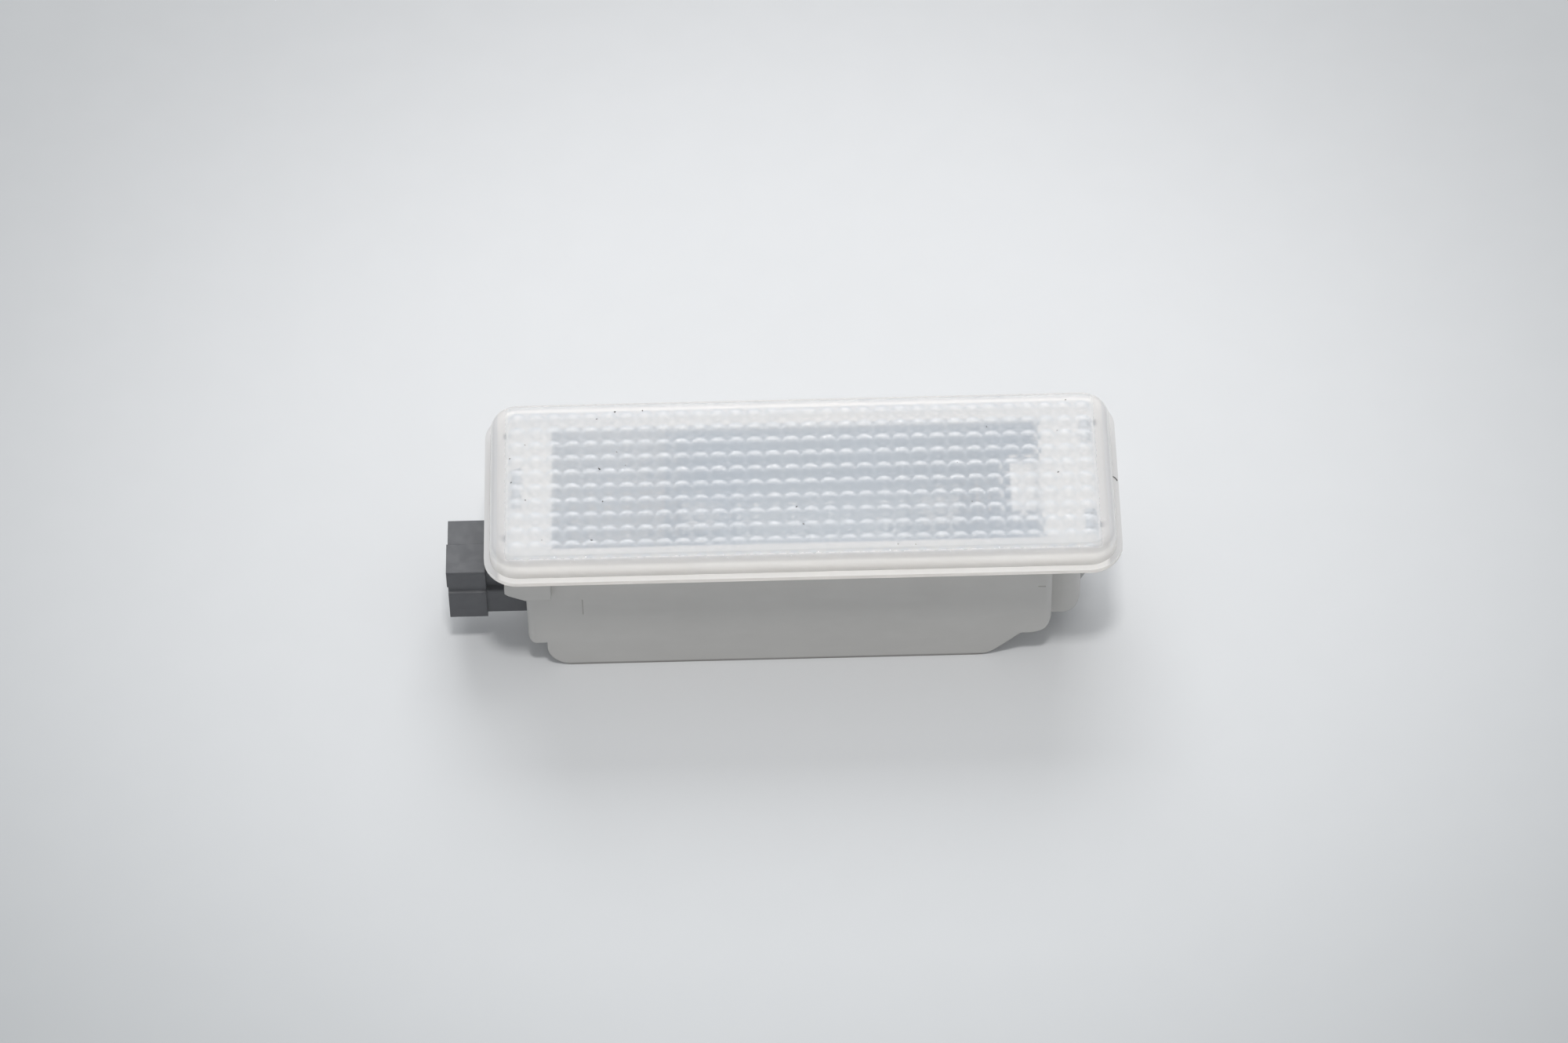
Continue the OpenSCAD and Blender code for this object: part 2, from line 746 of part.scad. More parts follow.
module housing() {
    color([0.80, 0.79, 0.77])
    difference() {
        union() {
            difference() {
                union() {
                    body_outside();
                    slab(rim_w, rim_d, rim_corner_r, seat_z, rim_z);
                    for (s = [-1, 1])
                        along_y(
                            s > 0 ? body_d / 2 + lug_proud - lug_d : -body_d / 2 - lug_proud,
                            s > 0 ? body_d / 2 + lug_proud : -body_d / 2 - lug_proud + lug_d
                        )
                            lug_side();
                }
                along_y(-cavity_d / 2, cavity_d / 2)
                    body_side(wall_t);
            }
            pillar(0);
            tray_shelf(shelf_left_x);
            tray_shelf(shelf_right_x);
            pad_ribs();
            stake(stake_short_x, stake_short_y);
            stake(stake_long_x, long_run_y);
        }
        block(
            [block_x - over, neck_front - neck_clear, neck_z - neck_clear],
            [cavity_left + over, neck_front + neck_w + neck_clear, neck_z + neck_h + neck_clear]
        );
        block(
            [block_x - over, neck_front - neck_band_t - neck_clear, neck_z - neck_band_drop - neck_clear],
            [cavity_left + over, -socket_y + neck_clear, collar_z + band_h + neck_clear]
        );
        mirror([1, 0, 0])
            catch_slot(-catch_left_x - catch_t, 0, catch_w_left);
        for (s = [-1, 1])
            catch_slot(catch_right_x, s * catch_right_y, catch_w_right);
        block(
            [channel_x, -channel_w / 2, clip_foot_z],
            [boss_x + over, channel_w / 2, seat_z]
        );
        block(
            [clip_foot_x, -channel_w / 2, leaf_start[1] - clip_foot_clear],
            [boss_x + over, channel_w / 2, clip_foot_z + over]
        );
        pillar(pillar_t);
        translate([clip_foot_x, channel_w / 2, clip_foot_z])
            rotate([90, 0, 0])
                cylinder(r = curl_r + clip_foot_clear, h = channel_w);
    }
}

// Side profile of the clip: rolled foot, lower leaf, nose and upper leaf
module clip_profile() {
    translate([clip_foot_x, clip_foot_z])
        ring_sector(clip_curl_r, curl_r, -clip_lean - clip_roll, -clip_lean);
    sheet_run(leaf_start, 90 - clip_lean, clip_leaf, clip_t);
    translate(nose_centre)
        ring_sector(clip_nose_r, clip_nose_r + clip_t, -clip_lean, clip_return);
    sheet_run(tail_start, 90 + clip_return, clip_tail, clip_t);
}

module retaining_clip() {
    color("silver")
        along_y(-clip_w / 2, clip_w / 2)
            clip_profile();
}

// Round-edged bar along X, centred on the plug's centre line
module socket_bar(x0, x1, y0, y1, z0, z1, r) {
    along_x(x0, x1)
        translate([(y0 + y1) / 2, (z0 + z1) / 2])
            rounded_rect(y1 - y0, z1 - z0, r);
}

module plug_socket() {
    front = -socket_y - collar_w / 2;
    back = -socket_y + collar_w / 2;
    color([0.22, 0.23, 0.25])
    difference() {
        union() {
            socket_bar(socket_x, collar_end_x, front, back, collar_z, collar_top_z, socket_edge_r);
            socket_bar(
                socket_x, collar_end_x, front - band_t, back - band_t,
                collar_z, collar_z + band_h, socket_edge_r
            );
            block(
                [socket_x - pad_t, front + pad_inset, collar_z + band_h + pad_over_band],
                [collar_end_x, -socket_y + pad_back, collar_top_z + pad_t]
            );
            socket_bar(
                collar_end_x - eps, neck_end_x, neck_front, neck_front + neck_w,
                neck_z, neck_z + neck_h, socket_edge_r / 2
            );
            socket_bar(
                collar_end_x - eps, neck_end_x, neck_front - neck_band_t, -socket_y,
                neck_z - neck_band_drop, collar_z + band_h, socket_edge_r / 2
            );
        }
        block(
            [socket_x - over, -socket_y - mouth_w / 2, mouth_z],
            [mouth_end_x, -socket_y + mouth_w / 2, mouth_z + mouth_h]
        );
        for (y = [short_y, long_y])
            block(
                [mouth_end_x - over, y - strip_t / 2 - pin_clear, socket_mid_z - pin_h / 2 - pin_clear],
                [neck_end_x + over, y + strip_t / 2 + pin_clear, socket_mid_z + pin_h / 2 + pin_clear]
            );
    }
}

// Pin and upright leg of a strip, cut from sheet that stands across Y
module pin_and_leg(y) {
    tip = pin_h / 4;
    along_y(y - strip_t / 2, y + strip_t / 2)
        polygon([
            [pin_start_x, socket_mid_z - pin_h / 2 + tip],
            [pin_start_x + 2 * tip, socket_mid_z - pin_h / 2],
            [leg_x, socket_mid_z - pin_h / 2],
            [leg_x, strip_z],
            [leg_x + leg_w, strip_z],
            [leg_x + leg_w, socket_mid_z],
            [leg_x + leg_w - pin_h / 2, socket_mid_z + pin_h / 2],
            [pin_start_x + 2 * tip, socket_mid_z + pin_h / 2],
            [pin_start_x, socket_mid_z + pin_h / 2 - tip]
        ]);
}

// Flat stretch of a strip, on the supports
module strip_run(x0, y0, x1, y1) {
    block([x0, y0, strip_z], [x1, y1, strip_top_z]);
}

// Hole through a strip or a spring's foot
module strip_hole(x, y, r) {
    translate([x, y, strip_z - over])
        cylinder(r = r, h = strip_t + spring_t + 2 * over);
}

module contact_strip_short() {
    run_y = short_y + strip_t / 2;
    color("gold")
    difference() {
        union() {
            pin_and_leg(short_y);
            strip_run(leg_x, run_y - strip_w, pad_left_x + contact_pad_len, run_y);
            strip_run(pad_left_x, run_y - strip_w, pad_left_x + contact_pad_len, spring_w / 2);
        }
        strip_hole(spring_left_x + rivet_inset, 0, rivet_r + rivet_clear);
        strip_hole(stake_short_x, stake_short_y, stake_r + rivet_clear);
    }
}

module contact_strip_long() {
    run_y = long_run_y + strip_w / 2;
    color("gold")
    difference() {
        union() {
            pin_and_leg(long_y);
            strip_run(leg_x, long_y - strip_t / 2, leg_x + strip_w, run_y);
            strip_run(leg_x, run_y - strip_w, pad_right_x, run_y);
            strip_run(pad_right_x - contact_pad_len, -spring_w / 2, pad_right_x, run_y);
        }
        strip_hole(spring_right_x - rivet_inset, 0, rivet_r + rivet_clear);
        strip_hole(stake_long_x, long_run_y, stake_r + rivet_clear);
    }
}

// Contact spring with its bulb to the right: foot, blade and flared top.
// Drawn with the blade's inner face at X = 0.
module contact_spring() {
    blade_top = bulb_z + spring_over;
    bend_in = spring_bend_r;
    bend_out = spring_bend_r + spring_t;
    difference() {
        along_y(-spring_w / 2, spring_w / 2) {
            translate([bend_in, spring_base_z])
                square([spring_foot - bend_in, spring_t]);
            translate([bend_in, spring_base_z + bend_out])
                ring_sector(bend_in, bend_out, 180, 270);
            translate([-spring_t, spring_base_z + bend_out])
                square([spring_t, blade_top - spring_base_z - bend_out]);
            translate([-bend_out, blade_top])
                ring_sector(bend_in, bend_out, 0, spring_flare);
            translate([-bend_out, blade_top])
                rotate(spring_flare)
                    translate([bend_in, 0])
                        square([spring_t, spring_lip]);
        }
        translate([-over, 0, bulb_z])
            rotate([0, 90, 0])
                cylinder(r = cap_seat_r, h = 2 * over);
        strip_hole(rivet_inset, 0, rivet_r + rivet_clear);
    }
}

module contact_spring_left() {
    color("goldenrod")
        translate([spring_left_x, 0, 0])
            contact_spring();
}

module contact_spring_right() {
    color("goldenrod")
        translate([spring_right_x, 0, 0])
            mirror([1, 0, 0])
                contact_spring();
}

// Rivet through a strip and a spring's foot
module rivet(x) {
    color("silver")
    translate([x, 0, 0]) {
        translate([0, 0, strip_z - rivet_head_t])
            cylinder(r = rivet_head_r, h = rivet_head_t);
        translate([0, 0, strip_z - eps])
            cylinder(r = rivet_r, h = strip_t + spring_t + 2 * eps);
        translate([0, 0, strip_top_z + spring_t])
            cylinder(r1 = rivet_head_r, r2 = rivet_r, h = rivet_head_t);
    }
}

module contact_rivet_left() {
    rivet(spring_left_x + rivet_inset);
}

module contact_rivet_right() {
    rivet(spring_right_x - rivet_inset);
}

// Section of the reflector: flat bottom, round bends, leaning sides
module tray_section() {
    bend_out = tray_bend_r + tray_t;
    turn = 90 - tray_lean;
    flat = tray_bottom_w / 2 - bend_out * tan(turn / 2);
    side_len = (tray_top_z - tray_z - bend_out * (1 - cos(turn))) / cos(tray_lean);
    translate([-flat - eps, tray_z])
        square([2 * (flat + eps), tray_t]);
    for (s = [0, 1])
        mirror([s, 0])
            translate([flat, tray_z + bend_out]) {
                ring_sector(tray_bend_r, bend_out, -90, -tray_lean);
                rotate(-tray_lean)
                    translate([tray_bend_r, -eps])
                        square([tray_t, side_len + eps]);
            }
}

module reflector_tray() {
    color([0.78, 0.80, 0.82])
    difference() {
        along_x(tray_left_x, tray_wing_x)
            tray_section();
        block(
            [tray_right_x, -body_d, 0],
            [tray_wing_x + over, body_d, slope_z + floor_t + tray_wing_cut]
        );
    }
}

// Half outline of the glass, from its middle to the end of its neck
function glass_outline(r, len, neck) = [
    [0, 0],
    [r, 0],
    for (k = [0 : glass_steps])
        let (a = 90 * k / glass_steps)
        [neck + (r - neck) * cos(a), len - glass_shoulder * (1 - sin(a))],
    [neck, len + glass_in_cap],
    [0, len + glass_in_cap]
];

// Places a shape drawn up along Z so that it lies along the bulb's axis
module on_bulb_axis(side) {
    translate([bulb_x, 0, bulb_z])
        rotate([0, side * 90, 0])
            children();
}

module bulb_glass() {
    half = glass_len / 2;
    neck = cap_r - cap_t;
    color("white", 0.4)
        for (side = [-1, 1])
            on_bulb_axis(side)
                rotate_extrude()
                    difference() {
                        polygon(glass_outline(glass_r, half, neck));
                        polygon(glass_outline(glass_r - glass_t, half - glass_t / 2, neck - glass_t));
                        square([neck - glass_t, half + glass_in_cap + over]);
                    }
}

// Cap: round shell with a socket for the glass and a cone that ends in the tip
module bulb_cap(side) {
    half = glass_len / 2;
    cone_z = half + cap_len;
    tip_z = bulb_len / 2;
    color("silver")
        on_bulb_axis(side)
            rotate_extrude()
                polygon([
                    [0, half + glass_in_cap],
                    [cap_r - cap_t, half + glass_in_cap],
                    [cap_r - cap_t, half],
                    [cap_r, half],
                    [cap_r, cone_z],
                    [cap_r - cap_edge, cone_z + cap_edge],
                    [cap_seat_r, tip_z - spring_in],
                    [cap_tip_r, tip_z - cap_edge],
                    [cap_tip_r - cap_edge, tip_z],
                    [0, tip_z]
                ]);
}

module bulb_cap_left() {
    bulb_cap(-1);
}

module bulb_cap_right() {
    bulb_cap(1);
}

// Lead wire from the cap's seat to the end of the filament
module bulb_lead(side) {
    color("silver")
        on_bulb_axis(side)
            translate([0, 0, filament_len / 2])
                cylinder(r = lead_r, h = (glass_len - filament_len) / 2 + glass_in_cap);
}

module bulb_lead_left() {
    bulb_lead(-1);
}

module bulb_lead_right() {
    bulb_lead(1);
}

// Point of the coil's helix after i steps
function helix_point(i) =
    let (a = 360 * i / filament_steps, n = filament_turns * filament_steps)
    [filament_len * (i / n - 0.5), filament_r * cos(a), filament_r * sin(a)];

// Ring of the wire's section round that point
function helix_ring(i) =
    let (a = 360 * i / filament_steps, p = helix_point(i))
    [for (k = [0 : filament_sides - 1])
        let (b = 360 * k / filament_sides)
        p + filament_wire_r * [sin(b), cos(b) * cos(a), cos(b) * sin(a)]];

// Coiled filament: a tube swept along the helix, closed at both ends
module bulb_filament() {
    n = filament_turns * filament_steps;
    m = filament_sides;
    points = [for (i = [0 : n]) each helix_ring(i)];
    sides = [for (i = [0 : n - 1], k = [0 : m - 1])
        [i * m + k, i * m + (k + 1) % m, (i + 1) * m + (k + 1) % m, (i + 1) * m + k]];
    first = [for (k = [m - 1 : -1 : 0]) k];
    last = [for (k = [0 : m - 1]) n * m + k];
    color("dimgray")
        translate([bulb_x, 0, bulb_z])
            polyhedron(points, concat(sides, [first, last]));
}

housing();
lens();
retaining_clip();
plug_socket();
contact_strip_short();
contact_strip_long();
contact_spring_left();
contact_spring_right();
contact_rivet_left();
contact_rivet_right();
reflector_tray();
bulb_glass();
bulb_cap_left();
bulb_cap_right();
bulb_lead_left();
bulb_lead_right();
bulb_filament();
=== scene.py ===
"""Looks of a snap-in car interior light, with its table, lamps and camera.

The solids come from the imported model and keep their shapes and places. This
script dresses them, adds the fine things that sit on them, such as dust on the
lens and witness marks of the mould, and sets up a plain studio.

Lengths in the dataclasses are metres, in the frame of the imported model: X runs
along the lens, Y to the back, Z up, and the origin is under the lens's middle.
"""

import json
import logging
import math
from dataclasses import dataclass, field
from enum import Enum

import bmesh
import bpy
from mathutils import Matrix, Vector

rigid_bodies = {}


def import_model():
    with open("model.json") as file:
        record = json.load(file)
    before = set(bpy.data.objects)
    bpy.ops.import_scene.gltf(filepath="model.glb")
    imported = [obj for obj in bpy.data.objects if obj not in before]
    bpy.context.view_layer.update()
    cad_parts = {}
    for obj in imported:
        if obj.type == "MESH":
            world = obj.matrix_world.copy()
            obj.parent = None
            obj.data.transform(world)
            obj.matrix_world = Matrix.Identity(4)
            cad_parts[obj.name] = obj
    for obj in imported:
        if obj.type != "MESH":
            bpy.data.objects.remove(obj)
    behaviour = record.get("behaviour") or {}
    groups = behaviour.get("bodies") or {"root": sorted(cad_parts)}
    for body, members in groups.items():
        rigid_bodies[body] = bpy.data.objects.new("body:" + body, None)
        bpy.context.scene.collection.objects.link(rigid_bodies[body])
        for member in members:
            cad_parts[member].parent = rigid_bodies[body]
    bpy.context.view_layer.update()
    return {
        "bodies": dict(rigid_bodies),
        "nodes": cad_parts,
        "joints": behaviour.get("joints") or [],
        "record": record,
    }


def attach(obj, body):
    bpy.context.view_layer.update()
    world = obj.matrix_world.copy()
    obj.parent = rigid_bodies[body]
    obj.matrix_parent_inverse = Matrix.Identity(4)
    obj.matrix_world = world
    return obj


LOG = logging.getLogger("interior_light")
MM = 0.001

Colour = tuple[float, float, float]
Point = tuple[float, float, float]
Span = tuple[float, float]

# White of the painted glints on the lens.
PAINTED_GLINT_WHITE: Colour = (1.0, 1.0, 1.0)
# Black that the table's painted shade darkens towards.
PAINTED_SHADE_BLACK: Colour = (0.0, 0.0, 0.0)

# The span in which most values of a noise pattern lie
MIDDLE: Span = (0.3, 0.7)
# Share of a dot's radius at which it is full
DOT_CORE = 0.6
# Rays that the Bevel node casts to find an edge
EDGE_RAYS = 4
# Squeeze of the coordinates that draws a pattern out into fine lines
DRAWN = 0.04


class Body(Enum):
    """The bodies that a piece can ride on."""

    LAMP = "lamp_body"
    LENS = "lens_cover"
    CLIP = "clip"


class Sheet(Enum):
    """Direction in which the fine lines of rolled or drawn metal run."""

    ALONG_X = (DRAWN, 1.0, 1.0)
    ALONG_Y = (1.0, DRAWN, 1.0)
    ALONG_Z = (1.0, 1.0, DRAWN)


class Shader:
    """A material's node tree, with short ways to add the nodes used here."""

    def __init__(self, name: str) -> None:
        """Starts an empty material.

        Args:
            name: The material's name.
        """
        self.material = bpy.data.materials.new(name)
        self.material.use_nodes = True
        self.tree = self.material.node_tree
        self.tree.nodes.clear()
        self.output = self.tree.nodes.new("ShaderNodeOutputMaterial")
        self.coords = self.tree.nodes.new("ShaderNodeTexCoord").outputs["Object"]

    def add(self, kind: str, **settings: object) -> bpy.types.Node:
        """Adds a node and sets its properties.

        Args:
            kind: The node's type name without the ShaderNode prefix.
            **settings: Properties of the node.

        Returns:
            The new node.
        """
        node = self.tree.nodes.new("ShaderNode" + kind)
        for key, value in settings.items():
            setattr(node, key, value)
        return node

    def feed(self, node: bpy.types.Node, **inputs: object) -> bpy.types.Node:
        """Links sockets into a node's inputs, or sets their values.

        Args:
            node: The node to fill in.
            **inputs: Input names, with _ for a space, or i and an input's number,
                each with a socket or a value.

        Returns:
            The same node.
        """
        for key, value in inputs.items():
            numbered = key[0] == "i" and key[1:].isdigit()
            socket = node.inputs[int(key[1:]) if numbered else key.replace("_", " ")]
            if isinstance(value, bpy.types.NodeSocket):
                self.tree.links.new(value, socket)
            else:
                socket.default_value = value
        return node

    def noise(
            self, size: float, detail: float = 3.0, stretch: Point = (1.0, 1.0, 1.0),
            roughness: float = 0.55) -> bpy.types.NodeSocket:
        """Adds a noise pattern on the object's own coordinates.

        Args:
            size: Size of its grains, in metres.
            detail: Octaves of detail.
            stretch: Factor on the coordinates along each axis.
            roughness: Share of the finer octaves.

        Returns:
            The pattern's value, from 0 to 1.
        """
        place = self.feed(self.add("Mapping"), Vector=self.coords, Scale=stretch)
        node = self.add("TexNoise", noise_dimensions="3D")
        self.feed(node, Vector=place.outputs[0], Scale=1.0 / size, Detail=detail, Roughness=roughness)
        return node.outputs["Fac"]

    def dots(self, spacing: float, radius: float) -> bpy.types.NodeSocket:
        """Adds a mask of small scattered dots.

        Args:
            spacing: Mean distance between dots, in metres.
            radius: Radius of a dot, in metres.

        Returns:
            1 in a dot and 0 elsewhere.
        """
        node = self.add("TexVoronoi", feature="F1")
        self.feed(node, Vector=self.coords, Scale=1.0 / spacing)
        rim = radius / spacing
        return self.ramp(node.outputs["Distance"], rim, rim * DOT_CORE, 0.0, 1.0)

    def ramp(
            self, value: bpy.types.NodeSocket, low: float, high: float, to_low: float = 0.0,
            to_high: float = 1.0, smooth: bool = True) -> bpy.types.NodeSocket:
        """Maps a range of a value to another, clamped at both ends.

        Args:
            value: The value to map.
            low: Start of its range.
            high: End of its range.
            to_low: What the start becomes.
            to_high: What the end becomes.
            smooth: Whether the change eases in and out.

        Returns:
            The mapped value.
        """
        if low > high:
            low, high, to_low, to_high = high, low, to_high, to_low
        node = self.add("MapRange", interpolation_type="SMOOTHSTEP" if smooth else "LINEAR")
        self.feed(node, Value=value)
        ends = {"From Min": low, "From Max": high, "To Min": to_low, "To Max": to_high}
        for key, number in ends.items():
            node.inputs[key].default_value = number
        return node.outputs["Result"]

    def maths(self, operation: str, first: object, second: object = 0.0) -> bpy.types.NodeSocket:
        """Adds a calculation of one or two values.

        Args:
            operation: The Math node's operation.
            first: A socket or a number.
            second: A socket or a number.

        Returns:
            The result.
        """
        return self.feed(self.add("Math", operation=operation), i0=first, i1=second).outputs[0]

    def axis(self, letter: str) -> bpy.types.NodeSocket:
        """Gives one of the object's own coordinates, in metres."""
        return self.feed(self.add("SeparateXYZ"), Vector=self.coords).outputs[letter]

    def inside(self, letter: str, low: float, high: float, soft: float) -> bpy.types.NodeSocket:
        """Adds a mask of a stretch along one axis.

        Args:
            letter: The axis.
            low: Start of the stretch, in metres.
            high: End of the stretch, in metres.
            soft: Width of its soft edges, in metres.

        Returns:
            1 in the stretch and 0 outside.
        """
        place = self.axis(letter)
        rise = self.ramp(place, low - soft / 2, low + soft / 2)
        fall = self.ramp(place, high - soft / 2, high + soft / 2, 1.0, 0.0)
        return self.maths("MULTIPLY", rise, fall)

    def outside(self, half_x: float, half_y: float, soft: float) -> bpy.types.NodeSocket:
        """Adds a mask of all that lies outside a rectangle round the origin.

        Args:
            half_x: Half the rectangle's length, in metres.
            half_y: Half its width, in metres.
            soft: Width of its soft edges, in metres.

        Returns:
            0 in the rectangle and 1 outside.
        """
        along = self.inside("X", -half_x, half_x, soft)
        across = self.inside("Y", -half_y, half_y, soft)
        return self.maths("SUBTRACT", 1.0, self.maths("MULTIPLY", along, across))

    def blend(self, factor: object, first: object, second: object) -> bpy.types.NodeSocket:
        """Mixes two colours.

        Args:
            factor: Share of the second colour, a socket or a number.
            first: A colour or a socket.
            second: A colour or a socket.

        Returns:
            The mixed colour.
        """
        node = self.add("Mix", data_type="RGBA")
        sockets = [s for s in node.inputs if s.enabled]
        for socket, value in zip(sockets, (factor, first, second)):
            if isinstance(value, bpy.types.NodeSocket):
                self.tree.links.new(value, socket)
            elif isinstance(value, tuple):
                socket.default_value = (*value, 1.0)
            else:
                socket.default_value = value
        return next(s for s in node.outputs if s.enabled)

    def bump(
            self, height: bpy.types.NodeSocket, depth: float,
            normal: bpy.types.NodeSocket | None = None) -> bpy.types.NodeSocket:
        """Adds a bump.

        Args:
            height: Height pattern, from 0 to 1.
            depth: Its full height, in metres.
            normal: The normal under it, if not the surface's.

        Returns:
            The new normal.
        """
        node = self.feed(self.add("Bump"), Height=height, Distance=depth, Strength=1.0)
        if normal is not None:
            self.feed(node, Normal=normal)
        return node.outputs[0]

    def round_edges(self, radius: float) -> bpy.types.NodeSocket:
        """Gives a normal that makes sharp edges look rounded to a radius."""
        return self.feed(self.add("Bevel", samples=EDGE_RAYS), Radius=radius).outputs[0]

    def principled(self, **inputs: object) -> bpy.types.Node:
        """Adds the main shader and fills in its inputs."""
        return self.feed(self.add("BsdfPrincipled"), **inputs)

    def mix(
            self, share: bpy.types.NodeSocket, first: bpy.types.Node,
            second: bpy.types.Node) -> bpy.types.Node:
        """Mixes two shaders.

        Args:
            share: Share of the second one.
            first: A shader node.
            second: A shader node.

        Returns:
            The node of the mixed shader.
        """
        return self.feed(self.add("MixShader"), i0=share, i1=first.outputs[0], i2=second.outputs[0])

    def let_light_in(self, seen: bpy.types.Node, clear: bpy.types.Node) -> bpy.types.Node:
        """Gives the lamps' rays a clearer shader than the one that is seen.

        Args:
            seen: The shader that is seen.
            clear: The shader for shadow rays.

        Returns:
            The node of the mixed shader.
        """
        return self.mix(self.add("LightPath").outputs["Is Shadow Ray"], seen, clear)

    def finish(self, surface: bpy.types.NodeSocket) -> bpy.types.Material:
        """Links the surface to the output and returns the material."""
        self.tree.links.new(surface, self.output.inputs["Surface"])
        return self.material


@dataclass(frozen=True)
class MouldedPlastic:
    """Satin moulded plastic: mottled colour, fine grain, soft edges, dust, and painted shade at its foot
    when its share is set.

    Attributes:
        name: The material's name.
        colour: Its main colour.
        dark: Colour of its broad darker patches.
        light: Colour of the flow lines along X.
        roughness: Its mean roughness.
        grain: Size of the skin's grain.
        grain_depth: Height of that grain.
        edge: Radius to which its edges look rounded.
        dust_and_shade_colour: Colour of the dust, and of the painted shade at its foot.
        foot: Heights between which the painted shade fades out, and its share; it darkens the colour
            towards the bottom, standing in for the shade where the part meets the table.
    """

    name: str
    colour: Colour
    dark: Colour
    light: Colour
    roughness: float = 0.42
    grain: float = 0.16 * MM
    grain_depth: float = 0.006 * MM
    edge: float = 0.18 * MM
    dust_and_shade_colour: Colour = (0.16, 0.15, 0.14)
    foot: tuple[float, float, float] = (0.1 * MM, 0.5 * MM, 0.0)
    roughness_change: Span = (-0.06, 0.08)
    smear: float = 1.1 * MM
    mottle: float = 9 * MM
    mottle_share: float = 0.55
    flow: float = 2.2 * MM
    flow_stretch: Point = (0.3, 1.0, 1.0)
    flow_span: Span = (0.45, 0.75)
    flow_share: float = 0.4
    speck_spacing: float = 4.2 * MM
    speck_radius: float = 0.07 * MM
    speck_patch: float = 3 * MM
    speck_span: Span = (0.5, 0.6)
    wave: float = 3.5 * MM
    wave_depth: float = 0.012 * MM
    ior: float = 1.47

    def make(self) -> bpy.types.Material:
        """Builds the material."""
        s = Shader(self.name)
        low, high = (self.roughness + change for change in self.roughness_change)
        rough = s.ramp(s.noise(self.smear, detail=4.0), *MIDDLE, low, high)
        wave = s.bump(s.noise(self.wave, detail=1.0), self.wave_depth, s.round_edges(self.edge))
        skin = s.bump(s.noise(self.grain, detail=2.0), self.grain_depth, wave)
        shader = s.principled(Base_Color=self.tint(s), Roughness=rough, IOR=self.ior, Normal=skin)
        return s.finish(shader.outputs[0])

    def tint(self, s: Shader) -> bpy.types.NodeSocket:
        """Mixes the colour with its patches, flow lines, dust and the painted shade at its foot.

        Args:
            s: The material that it is for.

        Returns:
            The mixed colour.
        """
        mottle = s.ramp(s.noise(self.mottle, detail=2.0), *MIDDLE, 0.0, self.mottle_share)
        streaks = s.noise(self.flow, detail=4.0, stretch=self.flow_stretch)
        flow = s.ramp(streaks, *self.flow_span, 0.0, self.flow_share)
        tint = s.blend(flow, s.blend(mottle, self.colour, self.dark), self.light)
        patch = s.ramp(s.noise(self.speck_patch), *self.speck_span)
        specks = s.maths("MULTIPLY", s.dots(self.speck_spacing, self.speck_radius), patch)
        tint = s.blend(specks, tint, self.dust_and_shade_colour)
        # Painted shade: darker towards the bottom, standing in for the shade where the part meets the
        # table.
        low, high, share = self.foot
        if share:
            tint = s.blend(s.ramp(s.axis("Z"), low, high, share, 0.0), tint, self.dust_and_shade_colour)
        return tint


@dataclass(frozen=True)
class LensZones:
    """Masks of the lens's zones, each from 0 to 1.

    Attributes:
        steep: Its walls and roundings.
        border: All outside the flat of its top.
        edge: The steep faces and the border together.
        end: Its two short ends.
        flange: Its flange.
        trapped: Faces that look down, met by light inside the wall.
    """

    steep: bpy.types.NodeSocket
    border: bpy.types.NodeSocket
    edge: bpy.types.NodeSocket
    end: bpy.types.NodeSocket
    flange: bpy.types.NodeSocket
    trapped: bpy.types.NodeSocket


